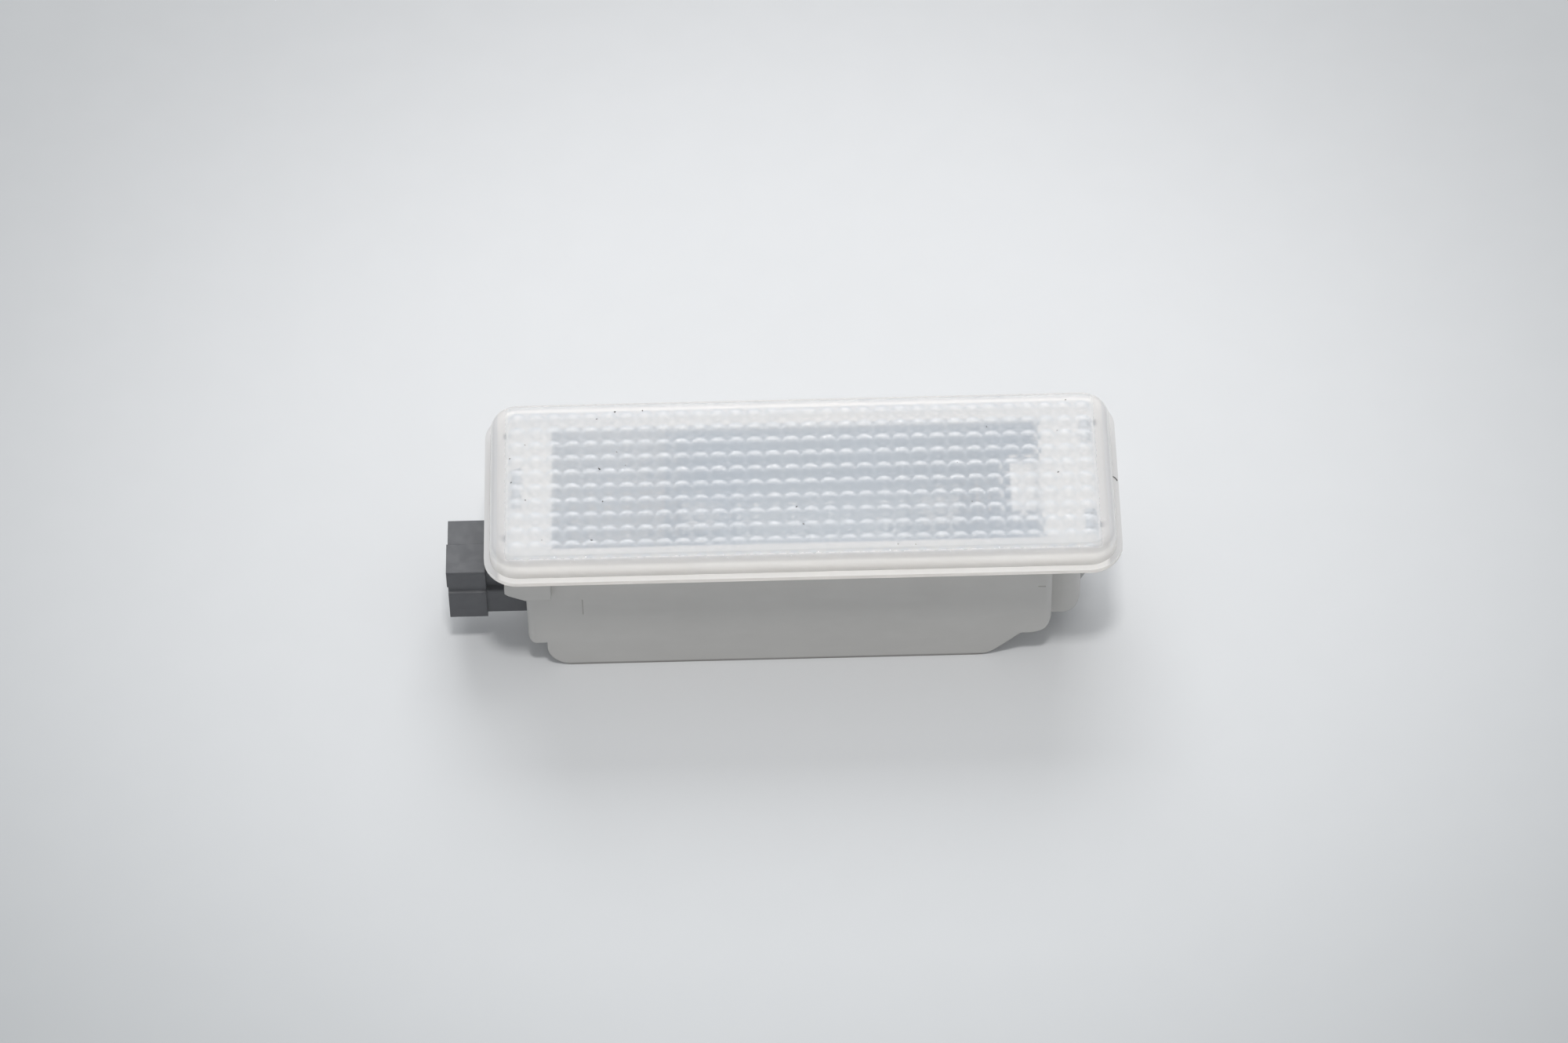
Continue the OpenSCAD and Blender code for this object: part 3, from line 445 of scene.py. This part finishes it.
@dataclass(frozen=True)
class FrostedLens:
    """Milky clear plastic with a finely sanded skin, moulded dimples inside and painted glints on its front
    rounding.

    The milk stands for the cloudiness of the whole wall. It is always lit from above, from whichever side
    of a face a ray arrives. Each zone of the lens has milk of its own colour, and its cloudiness is the
    milk's share of the look. These colours and shares hold painted light and shade: the border, the walls
    and the flange get brighter milk and more of it, partly for their thicker plastic and partly as painted
    light carried through it; faces that look down get brighter milk, partly painted light that lightens the
    dimples' crescents; the ends' walls get brighter milk as painted light, and the flange's ends darker
    milk as painted shade.

    Attributes:
        flange_z: Heights between which the flange's milk gives way to the walls'.
        end_x: Distances from the middle between which the ends begin.
        inner_z: Heights between which the dimpled inner face gives way to the top.
        steep: Slopes between which a face counts as a wall or as flat.
        flat: Half length and half width of the top's flat, and its soft edge.
        hollow: The same for the hollow under it, round which the wall is thick.
        rear_y: Places between which the rear wall lets the light through again.
        under: Slopes between which a face counts as looking down.
        shade: Share of the lamps' light that the top lets through.
        edge_shade: Share that the front and end walls let through.
    """

    name: str = "lens_frosted"
    tint: Colour = (0.99, 0.90, 0.80)
    ior: float = 1.54
    milk: Colour = (0.53, 0.60, 0.685)
    thin_milk: Colour = (0.51, 0.58, 0.67)
    # Brighter milk of the border and the walls: partly the thicker plastic's whiteness, partly painted
    # light carried through it.
    border_milk: Colour = (0.70, 0.70, 0.71)
    edge_milk: Colour = (0.86, 0.86, 0.87)
    # Painted light: the ends' walls get brighter milk.
    lit_end_edge_milk: Colour = (0.99, 0.99, 0.99)
    # Brighter milk of the flange: partly its whiteness, partly painted light.
    flange_milk: Colour = (0.97, 0.97, 0.97)
    # Painted shade: the flange's ends get darker milk.
    shaded_end_flange_milk: Colour = (0.66, 0.66, 0.665)
    # Brighter milk for faces that look down: partly painted light, which lightens the dimples' crescents.
    trapped_milk: Colour = (0.98, 0.98, 0.98)
    flange_z: Span = (20.45 * MM, 20.6 * MM)
    end_x: Span = (37.8 * MM, 38.4 * MM)
    roughness: float = 0.14
    edge_roughness: float = 0.34
    inner_roughness: float = 0.32
    inner_z: Span = (22.86 * MM, 22.95 * MM)
    smear: float = 0.9 * MM
    smear_change: Span = (0.85, 1.2)
    sand: float = 0.12 * MM
    sand_depth: float = 0.003 * MM
    cloud: float = 14 * MM
    cloud_change: float = 0.02
    cloudiness: float = 0.38
    # Larger share of milk at the border and walls: partly the thicker plastic, partly painted light.
    edge_cloudiness: float = 0.7
    # Painted light: the ends' walls get a larger share of milk.
    lit_end_cloudiness: float = 0.92
    # Partly painted light: a larger share of milk lightens the dimples' crescents.
    trapped_cloudiness: float = 0.6
    steep: Span = (0.45, 0.78)
    flat: tuple[float, float, float] = (37.1 * MM, 12.3 * MM, 0.7 * MM)
    hollow: tuple[float, float, float] = (37.2 * MM, 11.6 * MM, 0.5 * MM)
    rear_y: Span = (6.0 * MM, 11.0 * MM)
    under: Span = (0.15, 0.6)
    shade: float = 0.67
    edge_shade: float = 0.22
    # Place, spacing, size and patches of the painted glints on the front rounding.
    glint_y: tuple[float, float, float] = (-13.2 * MM, -12.1 * MM, 0.4 * MM)
    glint_z: tuple[float, float, float] = (22.6 * MM, 30 * MM, 0.3 * MM)
    glint_spacing: float = 0.6 * MM
    glint_radius: float = 0.1 * MM
    glint_patch: float = 2.4 * MM
    glint_span: Span = (0.55, 0.62)

    def make(self) -> bpy.types.Material:
        """Builds the material."""
        s = Shader(self.name)
        zones = self.zones(s)
        cloud = s.noise(self.cloud)
        glints = self.glints(s)
        white = self.white(s, zones, cloud)
        # Painted glints: the glints' dots get white milk.
        above = s.feed(s.add("BsdfDiffuse"), Color=s.blend(glints, white, PAINTED_GLINT_WHITE))
        # Brighter milk for faces that look down, partly painted light.
        trapped = s.blend(zones.trapped, white, self.trapped_milk)
        below = s.feed(s.add("BsdfTranslucent"), Color=trapped)
        cream = s.mix(zones.trapped, above, below)
        # The painted glints are all milk.
        share = s.maths("MAXIMUM", self.share(s, zones, cloud), glints)
        seen = s.mix(share, self.body(s, zones), cream)
        return s.finish(s.let_light_in(seen, self.clear(s)).outputs[0])

    def zones(self, s: Shader) -> LensZones:
        """Tells the lens's zones apart by place and slope.

        Args:
            s: The lens's material.

        Returns:
            The masks.
        """
        normal = s.add("NewGeometry").outputs["Normal"]
        facing = s.feed(s.add("SeparateXYZ"), Vector=normal).outputs["Z"]
        steep = s.ramp(s.maths("ABSOLUTE", facing), *self.steep, 1.0, 0.0)
        border = s.outside(*self.flat)
        return LensZones(
            steep=steep, border=border, edge=s.maths("MAXIMUM", steep, border),
            end=s.ramp(s.maths("ABSOLUTE", s.axis("X")), *self.end_x),
            flange=s.ramp(s.axis("Z"), *self.flange_z, 1.0, 0.0),
            trapped=s.ramp(facing, *self.under, 1.0, 0.0))

    def body(self, s: Shader, zones: LensZones) -> bpy.types.Node:
        """Adds the clear plastic itself, with its sanded skin.

        Args:
            s: The lens's material.
            zones: The lens's zones.

        Returns:
            The shader's node.
        """
        rough = s.ramp(s.axis("Z"), *self.inner_z, self.inner_roughness, self.roughness)
        rough = s.maths("MAXIMUM", rough, s.maths("MULTIPLY", zones.edge, self.edge_roughness))
        smear = s.ramp(s.noise(self.smear, detail=4.0), *MIDDLE, *self.smear_change)
        rough = s.maths("MULTIPLY", rough, smear)
        sand = s.bump(s.noise(self.sand, detail=2.0), self.sand_depth)
        return s.principled(
            Base_Color=(*self.tint, 1.0), Roughness=rough, IOR=self.ior, Transmission_Weight=1.0,
            Normal=sand)

    def glints(self, s: Shader) -> bpy.types.NodeSocket:
        """Adds a mask of the painted glints: dots on the front rounding that get white milk, standing in
        for the glints of its scuffed skin.
        """
        front = s.maths("MULTIPLY", s.inside("Y", *self.glint_y), s.inside("Z", *self.glint_z))
        patch = s.ramp(s.noise(self.glint_patch, detail=2.0), *self.glint_span)
        glint_dots = s.maths("MULTIPLY", s.dots(self.glint_spacing, self.glint_radius), patch)
        return s.maths("MULTIPLY", glint_dots, front)

    def white(self, s: Shader, zones: LensZones, cloud: bpy.types.NodeSocket) -> bpy.types.NodeSocket:
        """Gives each zone the colour of its milk, which holds painted light and shade.

        Args:
            s: The lens's material.
            zones: The lens's zones.
            cloud: The pattern of thicker and thinner milk.

        Returns:
            The milk's colour.
        """
        white = s.blend(s.ramp(cloud, *MIDDLE), self.milk, self.thin_milk)
        # Brighter milk at the border and walls, partly painted light; at the ends' walls, painted light.
        white = s.blend(zones.border, white, self.border_milk)
        white = s.blend(zones.steep, white, s.blend(zones.end, self.edge_milk, self.lit_end_edge_milk))
        # Brighter milk on the flange, partly painted light; darker at its ends, painted shade.
        flange = s.blend(zones.end, self.flange_milk, self.shaded_end_flange_milk)
        return s.blend(zones.flange, white, flange)

    def share(self, s: Shader, zones: LensZones, cloud: bpy.types.NodeSocket) -> bpy.types.NodeSocket:
        """Gives each zone its share of milk; the larger shares of the walls and of faces that look down are
        partly painted light, and that of the ends is painted light.

        Args:
            s: The lens's material.
            zones: The lens's zones.
            cloud: The pattern of thicker and thinner milk.

        Returns:
            The milk's share.
        """
        share = s.ramp(zones.edge, 0.0, 1.0, self.cloudiness, self.edge_cloudiness, False)
        # Larger shares of milk: partly painted light for faces that look down, painted light for the ends.
        for zone, least in ((zones.trapped, self.trapped_cloudiness), (zones.end, self.lit_end_cloudiness)):
            share = s.maths("MAXIMUM", share, s.maths("MULTIPLY", zone, least))
        return s.maths("ADD", share, s.ramp(cloud, *MIDDLE, -self.cloud_change, self.cloud_change))

    def clear(self, s: Shader) -> bpy.types.Node:
        """Adds the shader that the lamps' light passes, darker in the walls."""
        rear = s.ramp(s.axis("Y"), *self.rear_y, 1.0, 0.0)
        thick = s.maths("MULTIPLY", s.outside(*self.hollow), rear)
        through = s.ramp(thick, 0.0, 1.0, self.shade, self.edge_shade, False)
        return s.feed(s.add("BsdfTransparent"), Color=through)


@dataclass(frozen=True)
class SheetMetal:
    """Rolled or drawn metal: fine lines one way, tarnish, soft bright edges.

    Attributes:
        name: The material's name.
        colour: Colour of the clean metal.
        tarnish: Colour of the metal where it is dull.
        roughness: Its mean roughness.
        lines: Direction of its fine lines.
        patch: Size of the tarnished patches.
        wear: Share of tarnish in them.
    """

    name: str
    colour: Colour
    tarnish: Colour
    roughness: float = 0.28
    lines: Sheet = Sheet.ALONG_X
    patch: float = 4 * MM
    wear: float = 0.45
    patch_span: Span = (0.42, 0.72)
    line_size: float = 0.12 * MM
    line_depth: float = 0.004 * MM
    line_fineness: float = 0.65
    line_span: Span = (0.3, 0.8)
    line_share: float = 0.25
    roughness_span: Span = (0.25, 0.75)
    roughness_change: Span = (-0.07, 0.1)
    edge: float = 0.08 * MM

    def make(self) -> bpy.types.Material:
        """Builds the material."""
        s = Shader(self.name)
        lines = s.noise(self.line_size, stretch=self.lines.value, roughness=self.line_fineness)
        worn = s.ramp(s.noise(self.patch, detail=4.0), *self.patch_span, 0.0, self.wear)
        drawn = s.ramp(lines, *self.line_span, 0.0, self.line_share)
        tint = s.blend(drawn, s.blend(worn, self.colour, self.tarnish), self.tarnish)
        low, high = (self.roughness + change for change in self.roughness_change)
        rough = s.ramp(lines, *self.roughness_span, low, high)
        skin = s.bump(lines, self.line_depth, s.round_edges(self.edge))
        shader = s.principled(Base_Color=tint, Metallic=1.0, Roughness=rough, Normal=skin)
        return s.finish(shader.outputs[0])


@dataclass(frozen=True)
class ClearGlass:
    """Thin blown glass with a little haze and a faint ripple."""

    name: str = "bulb_clear_glass"
    tint: Colour = (0.97, 0.98, 0.98)
    shade: Colour = (0.95, 0.96, 0.96)
    ior: float = 1.47
    haze: float = 3 * MM
    haze_span: Span = (0.4, 0.8)
    haze_roughness: Span = (0.01, 0.07)
    ripple: float = 5 * MM
    ripple_depth: float = 0.01 * MM

    def make(self) -> bpy.types.Material:
        """Builds the material."""
        s = Shader(self.name)
        rough = s.ramp(s.noise(self.haze), *self.haze_span, *self.haze_roughness)
        ripple = s.bump(s.noise(self.ripple, detail=1.0), self.ripple_depth)
        glass = s.principled(
            Base_Color=(*self.tint, 1.0), Roughness=rough, IOR=self.ior, Transmission_Weight=1.0,
            Normal=ripple)
        clear = s.feed(s.add("BsdfTransparent"), Color=(*self.shade, 1.0))
        return s.finish(s.let_light_in(glass, clear).outputs[0])


@dataclass(frozen=True)
class TableTop:
    """Plain pale table with painted light falloff: its colour is a little cooler and darker away from the
    middle, standing in for the lamps' falloff and the camera's vignetting.

    Attributes:
        centre: Its colour in the middle, where the painted light is brightest.
        rim: Its colour far out, in the painted shade.
        middle: The point round which the painted light is brightest.
        near: Distance from there at which the colour starts to change.
        far: Distance at which it has changed.
        fall: Distances from the origin between which the painted shade darkens it, and by how much.
    """

    name: str = "table_top"
    centre: Colour = (0.81, 0.818, 0.832)
    rim: Colour = (0.465, 0.492, 0.508)
    middle: Point = (0.0, 55 * MM, 0.0)
    near: float = 25 * MM
    far: float = 270 * MM
    fall: tuple[float, float, float] = (55 * MM, 150 * MM, 0.24)
    smear: float = 6 * MM
    roughness: Span = (0.55, 0.62)
    ior: float = 1.4

    def make(self) -> bpy.types.Material:
        """Builds the material."""
        s = Shader(self.name)
        shift = tuple(-c for c in self.middle)
        place = s.feed(s.add("Mapping"), Vector=s.coords, Location=shift)
        away = s.feed(s.add("VectorMath", operation="LENGTH"), i0=place.outputs[0]).outputs["Value"]
        # Painted light falloff: cooler and darker away from the middle.
        tint = s.blend(s.ramp(away, self.near, self.far), self.centre, self.rim)
        out = s.feed(s.add("VectorMath", operation="LENGTH"), i0=s.coords).outputs["Value"]
        start, end, share = self.fall
        # Painted shade: darker still further from the origin.
        tint = s.blend(s.ramp(out, start, end, 0.0, share), tint, PAINTED_SHADE_BLACK)
        rough = s.ramp(s.noise(self.smear), *MIDDLE, *self.roughness)
        return s.finish(s.principled(Base_Color=tint, Roughness=rough, IOR=self.ior).outputs[0])


def new_piece(
        name: str, mesh: bmesh.types.BMesh, material: bpy.types.Material, body: Body) -> bpy.types.Object:
    """Turns a finished bmesh into a piece that rides on a body.

    Args:
        name: The piece's name.
        mesh: Its shape in the frame's metres; it is freed.
        material: Its finish.
        body: The body that it moves with.

    Returns:
        The new object.
    """
    bmesh.ops.recalc_face_normals(mesh, faces=mesh.faces[:])
    data = bpy.data.meshes.new(name)
    mesh.to_mesh(data)
    mesh.free()
    data.materials.append(material)
    for polygon in data.polygons:
        polygon.use_smooth = True
    piece = bpy.data.objects.new(name, data)
    bpy.context.scene.collection.objects.link(piece)
    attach(piece, body.value)
    LOG.info("piece %s: %d faces on %s", name, len(data.polygons), body.value)
    return piece


def dress(frame: dict, node: str, material: bpy.types.Material) -> None:
    """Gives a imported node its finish.

    Args:
        node: The node's name.
        material: The finish for all its faces.
    """
    for slot in frame["nodes"][node].material_slots:
        slot.material = material
    LOG.info("node %s wears %s", node, material.name)


@dataclass(frozen=True)
class Mark:
    """A witness mark of the mould on the front wall.

    Attributes:
        x: Its left edge.
        z: Its lower edge.
        width: Its width along X.
        height: Its height along Z.
    """

    x: float
    z: float
    width: float
    height: float


@dataclass
class Housing:
    """The moulded housing and the witness marks on its front wall.

    Attributes:
        wall_y: Place of the front wall's face.
        proud: How far a mark stands out of it.
        depth: Depth of a mark's sliver, most of it in the wall.
    """

    # Its finish paints shade at its foot: darker towards the bottom, standing in for the shade where it
    # meets the table.
    finish: MouldedPlastic = MouldedPlastic(
        "housing_satin", colour=(0.590, 0.580, 0.562), dark=(0.558, 0.548, 0.530),
        light=(0.617, 0.607, 0.590), foot=(0.1 * MM, 0.5 * MM, 0.75))
    mark_finish: MouldedPlastic = MouldedPlastic(
        "housing_mark", colour=(0.475, 0.46, 0.44), dark=(0.445, 0.43, 0.41), light=(0.50, 0.485, 0.465))
    wall_y: float = -11 * MM
    proud: float = 0.03 * MM
    depth: float = 0.12 * MM
    marks: tuple[Mark, ...] = (
        Mark(-28.0 * MM, 10.2 * MM, 0.13 * MM, 3.0 * MM),
        Mark(29.5 * MM, 13.55 * MM, 0.95 * MM, 0.2 * MM))

    def build(self, frame: dict) -> None:
        """Dresses the housing and adds its marks.
        """
        dress(frame, "housing", self.finish.make())
        mesh = bmesh.new()
        for mark in self.marks:
            self.add_mark(mesh, mark)
        new_piece("mould_marks", mesh, self.mark_finish.make(), Body.LAMP)

    def add_mark(self, mesh: bmesh.types.BMesh, mark: Mark) -> None:
        """Adds a low raised sliver on the front wall.

        Args:
            mesh: The mesh to add it to.
            mark: Its place and size.
        """
        size = Matrix.Diagonal((mark.width, self.depth, mark.height, 1.0))
        middle_y = self.wall_y - self.proud + self.depth / 2
        place = Matrix.Translation((mark.x + mark.width / 2, middle_y, mark.z + mark.height / 2))
        made = bmesh.ops.create_cube(mesh, size=1.0, matrix=place @ size)
        edges = list({edge for vert in made["verts"] for edge in vert.link_edges})
        bmesh.ops.bevel(
            mesh, geom=edges, offset=self.proud, segments=2, profile=0.5, affect="EDGES", material=-1)


@dataclass
class LensCover:
    """The lens, with the dust on it and a fibre at its clip end.

    Attributes:
        top_z: Height of the lens's top.
        specks: X, Y and radius of each grain of dust, in millimetres.
        speck_turn: Turn from one grain to the next, in radians.
        speck_stretch: How much longer the second and third of three grains are.
        speck_flat: A grain's width and height as shares of its radius.
        fibre_at: Start of the fibre.
        fibre_bend: Radius of its bend.
        fibre_radius: Its own radius.
        fibre_arc: Angle of its bend, in degrees.
    """

    finish: FrostedLens = field(default_factory=FrostedLens)
    dust_finish: MouldedPlastic = MouldedPlastic(
        "dust_dark", colour=(0.09, 0.085, 0.08), dark=(0.05, 0.05, 0.05), light=(0.14, 0.13, 0.12),
        roughness=0.8)
    top_z: float = 23.5 * MM
    specks: tuple[Point, ...] = (
        (-23.4, 11.1, 0.16), (-19.9, 11.2, 0.10), (-25.7, 10.0, 0.09), (-34.8, 6.0, 0.09),
        (-36.7, 3.8, 0.10), (-25.4, 1.8, 0.14), (-22.1, 2.3, 0.08), (-23.2, 4.5, 0.09),
        (-36.5, -0.1, 0.09), (-34.7, -3.0, 0.11), (-25.0, -3.5, 0.11), (-26.4, -9.7, 0.12),
        (-32.6, -9.5, 0.08), (33.8, 11.3, 0.09), (23.6, 7.2, 0.08), (32.5, 6.3, 0.08),
        (19.7, 1.5, 0.08), (32.3, -0.5, 0.10), (21.3, -4.9, 0.09), (-0.7, -5.1, 0.12),
        (0.1, -7.9, 0.10), (11.8, -11.5, 0.09), (14.0, -11.6, 0.08))
    speck_turn: float = 1.7
    speck_stretch: float = 0.35
    speck_flat: Span = (0.8, 0.2)
    fibre_at: Point = (38.95 * MM, 1.1 * MM, 20.46 * MM)
    fibre_bend: float = 0.9 * MM
    fibre_radius: float = 0.055 * MM
    fibre_arc: float = 80.0

    def build(self, frame: dict) -> None:
        """Dresses the lens and lays the dust on it.
        """
        dress(frame, "lens", self.finish.make())
        dark = self.dust_finish.make()
        mesh = bmesh.new()
        for number, (x, y, radius) in enumerate(self.specks):
            self.add_speck(mesh, Vector((x * MM, y * MM, self.top_z)), radius * MM, number)
        new_piece("lens_dust", mesh, dark, Body.LENS)
        mesh = bmesh.new()
        self.add_fibre(mesh)
        new_piece("lens_fibre", mesh, dark, Body.LENS)

    def add_speck(self, mesh: bmesh.types.BMesh, place: Vector, radius: float, number: int) -> None:
        """Adds one grain of dust.

        Args:
            mesh: The mesh to add it to.
            place: The point of the lens under it.
            radius: Its radius.
            number: Its number, from which its turn and length follow.
        """
        turn = Matrix.Rotation(self.speck_turn * number, 4, "Z")
        shape = Matrix.Diagonal((1.0 + self.speck_stretch * (number % 3), *self.speck_flat, 1.0))
        made = bmesh.ops.create_icosphere(mesh, subdivisions=1, radius=radius)
        bmesh.ops.transform(mesh, verts=made["verts"], matrix=Matrix.Translation(place) @ turn @ shape)

    def add_fibre(self, mesh: bmesh.types.BMesh) -> None:
        """Adds a short bent fibre, lying on the flange.

        Args:
            mesh: The mesh to add it to.
        """
        at = Vector(self.fibre_at)
        turn = Matrix.Rotation(math.radians(90), 4, "Y")
        place = Matrix.Translation(at) @ turn
        ring = bmesh.ops.create_circle(
            mesh, cap_ends=True, segments=6, radius=self.fibre_radius, matrix=place)
        faces = list({face for vert in ring["verts"] for face in vert.link_faces})
        bmesh.ops.spin(
            mesh, geom=faces + ring["verts"], cent=at - Vector((0.0, self.fibre_bend, 0.0)),
            axis=(0.0, 0.0, 1.0), angle=-math.radians(self.fibre_arc), steps=8, use_merge=False)


@dataclass
class PlugSocket:
    """The dark socket for the two-pin plug."""

    finish: MouldedPlastic = MouldedPlastic(
        "socket_satin", colour=(0.112, 0.115, 0.124), dark=(0.094, 0.097, 0.105),
        light=(0.135, 0.138, 0.147), roughness=0.45, dust_and_shade_colour=(0.35, 0.34, 0.33))

    def build(self, frame: dict) -> None:
        """Dresses the socket.
        """
        dress(frame, "plug_socket", self.finish.make())


@dataclass
class Contacts:
    """Brass strips, bronze springs and the rivets that join them."""

    brass: SheetMetal = SheetMetal(
        "strip_brass_rolled", (0.50, 0.42, 0.27), (0.32, 0.26, 0.17), 0.42, Sheet.ALONG_X)
    bronze: SheetMetal = SheetMetal(
        "spring_bronze_rolled", (0.50, 0.38, 0.26), (0.32, 0.23, 0.15), 0.42, Sheet.ALONG_Z)
    rivet: SheetMetal = SheetMetal(
        "rivet_brass_turned", (0.72, 0.62, 0.40), (0.45, 0.36, 0.22), 0.35, Sheet.ALONG_Y, patch=1 * MM)

    def build(self, frame: dict) -> None:
        """Dresses the contacts.
        """
        brass, bronze, rivet = self.brass.make(), self.bronze.make(), self.rivet.make()
        for node, material in (
                ("contact_strip_short", brass), ("contact_strip_long", brass),
                ("contact_spring_left", bronze), ("contact_spring_right", bronze),
                ("contact_rivet_left", rivet), ("contact_rivet_right", rivet)):
            dress(frame, node, material)


@dataclass
class Reflector:
    """The folded aluminium reflector under the bulb."""

    finish: SheetMetal = SheetMetal(
        "reflector_rolled", (0.42, 0.44, 0.46), (0.34, 0.36, 0.38), 0.55, Sheet.ALONG_X,
        patch=7 * MM, wear=0.3)

    def build(self, frame: dict) -> None:
        """Dresses the reflector.
        """
        dress(frame, "reflector_tray", self.finish.make())


@dataclass
class FestoonBulb:
    """The bulb: glass, two caps, two lead wires and the filament."""

    glass: ClearGlass = field(default_factory=ClearGlass)
    cap: SheetMetal = SheetMetal(
        "cap_nickel_drawn", (0.30, 0.295, 0.285), (0.20, 0.195, 0.185), 0.55, Sheet.ALONG_Y, patch=2 * MM)
    lead: SheetMetal = SheetMetal(
        "lead_wire_drawn", (0.62, 0.61, 0.60), (0.40, 0.39, 0.38), 0.35, Sheet.ALONG_X)
    filament: SheetMetal = SheetMetal(
        "filament_drawn", (0.33, 0.33, 0.35), (0.20, 0.20, 0.22), 0.45, Sheet.ALONG_X)

    def build(self, frame: dict) -> None:
        """Dresses the bulb.
        """
        dress(frame, "bulb_glass", self.glass.make())
        cap, lead = self.cap.make(), self.lead.make()
        for side in ("left", "right"):
            dress(frame, f"bulb_cap_{side}", cap)
            dress(frame, f"bulb_lead_{side}", lead)
        dress(frame, "bulb_filament", self.filament.make())


@dataclass
class SteelClip:
    """The spring steel clip that holds the lamp in its panel."""

    finish: SheetMetal = SheetMetal(
        "clip_spring_steel", (0.50, 0.50, 0.50), (0.26, 0.24, 0.22), 0.3, Sheet.ALONG_Z,
        patch=3 * MM, wear=0.5)

    def build(self, frame: dict) -> None:
        """Dresses the clip.
        """
        dress(frame, "retaining_clip", self.finish.make())


@dataclass(frozen=True)
class Lamp:
    """A flat lamp that faces the part.

    Attributes:
        name: Its name.
        tilt: Its lean from the upright towards the back, in degrees.
        wide: Its size along X.
        high: Its size the other way.
        power: Its power in watts.
        colour: Its colour.
        distance: Its distance from the part.
        aside: Its lean towards the clip end, in degrees.
    """

    name: str
    tilt: float
    wide: float
    high: float
    power: float
    colour: Colour
    distance: float = 1.5
    aside: float = 0.0

    def hang(self) -> None:
        """Hangs the lamp."""
        data = bpy.data.lights.new(self.name, "AREA")
        data.shape = "RECTANGLE"
        data.size = self.wide
        data.size_y = self.high
        data.energy = self.power
        data.color = self.colour
        lamp = bpy.data.objects.new(self.name, data)
        aside = Matrix.Rotation(math.radians(self.aside), 4, "Y")
        tilt = Matrix.Rotation(math.radians(-self.tilt), 4, "X")
        lamp.matrix_world = aside @ tilt @ Matrix.Translation((0.0, 0.0, self.distance))
        bpy.context.scene.collection.objects.link(lamp)
        LOG.info("lamp %s, %.2f by %.2f m", self.name, self.wide, self.high)


@dataclass
class Studio:
    """The table, the lamps and the room's even light."""

    table_half: float = 2.5
    key: Lamp = Lamp(
        "key_softbox", tilt=-14.8, wide=0.18, high=0.15, power=6.5, colour=(1.0, 0.99, 0.975), aside=1.0)
    back: Lamp = Lamp("back_panel", tilt=46.0, wide=1.1, high=0.8, power=8.8, colour=(0.98, 0.99, 1.0))
    top: Lamp = Lamp("top_panel", tilt=6.0, wide=1.4, high=1.0, power=1.8, colour=(0.98, 0.99, 1.0))
    sky: Colour = (0.955, 0.98, 1.0)
    sky_strength: float = 0.40
    finish: TableTop = field(default_factory=TableTop)

    def build(self) -> None:
        """Lays the table and hangs the lamps."""
        mesh = bmesh.new()
        bmesh.ops.create_grid(mesh, x_segments=1, y_segments=1, size=self.table_half)
        data = bpy.data.meshes.new("table")
        mesh.to_mesh(data)
        mesh.free()
        data.materials.append(self.finish.make())
        table = bpy.data.objects.new("table", data)
        bpy.context.scene.collection.objects.link(table)
        for lamp in (self.key, self.back, self.top):
            lamp.hang()
        self.light_room()

    def light_room(self) -> None:
        """Sets the even light of the room."""
        world = bpy.data.worlds.new("room")
        world.use_nodes = True
        background = world.node_tree.nodes["Background"]
        background.inputs["Color"].default_value = (*self.sky, 1.0)
        background.inputs["Strength"].default_value = self.sky_strength
        bpy.context.scene.world = world


@dataclass
class PhotoCamera:
    """The camera at the photograph's place, from a fit to the lens and housing.

    Attributes:
        place: Where it stands.
        azimuth: Its angle round the part, from the front, in degrees.
        elevation: Its angle above the table, in degrees.
        roll: Its turn about its own axis, in degrees.
        focal_pixels: Its focal length in the photograph's pixels.
        image_width: The photograph's width in pixels.
        sensor: Width of its sensor in millimetres.
        near_clip: Nearest distance that it sees.
    """

    place: Point = (-5.25 * MM, -495.13 * MM, 625.96 * MM)
    azimuth: float = -0.343
    elevation: float = 51.01
    roll: float = -1.113
    focal_pixels: float = 7910.0
    image_width: float = 2000.0
    sensor: float = 36.0
    near_clip: float = 0.01

    def build(self) -> None:
        """Sets up the scene's camera."""
        a, e, r = (math.radians(v) for v in (self.azimuth, self.elevation, self.roll))
        back = Vector((math.sin(a) * math.cos(e), -math.cos(a) * math.cos(e), math.sin(e)))
        right = Vector((math.cos(a), math.sin(a), 0.0))
        up = back.cross(right)
        turned = (right * math.cos(r) + up * math.sin(r), up * math.cos(r) - right * math.sin(r), back)
        data = bpy.data.cameras.new("camera")
        data.sensor_width = self.sensor
        data.lens = self.focal_pixels * self.sensor / self.image_width
        data.clip_start = self.near_clip
        camera = bpy.data.objects.new("camera", data)
        camera.matrix_world = Matrix.Translation(self.place) @ Matrix(turned).transposed().to_4x4()
        bpy.context.scene.collection.objects.link(camera)
        bpy.context.scene.camera = camera
        LOG.info("camera with a lens of %.1f mm", data.lens)


def main() -> None:
    """Builds the scene from its classes, in order."""
    logging.basicConfig(level=logging.INFO, format="%(name)s: %(message)s")
    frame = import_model()
    bpy.context.scene.view_settings.view_transform = "Standard"
    PhotoCamera().build()
    Studio().build()
    for part in (Housing(), LensCover(), PlugSocket(), Contacts(), Reflector(), FestoonBulb(), SteelClip()):
        part.build(frame)
        LOG.info("%s is done", type(part).__name__)


if __name__ == "__main__":
    main()
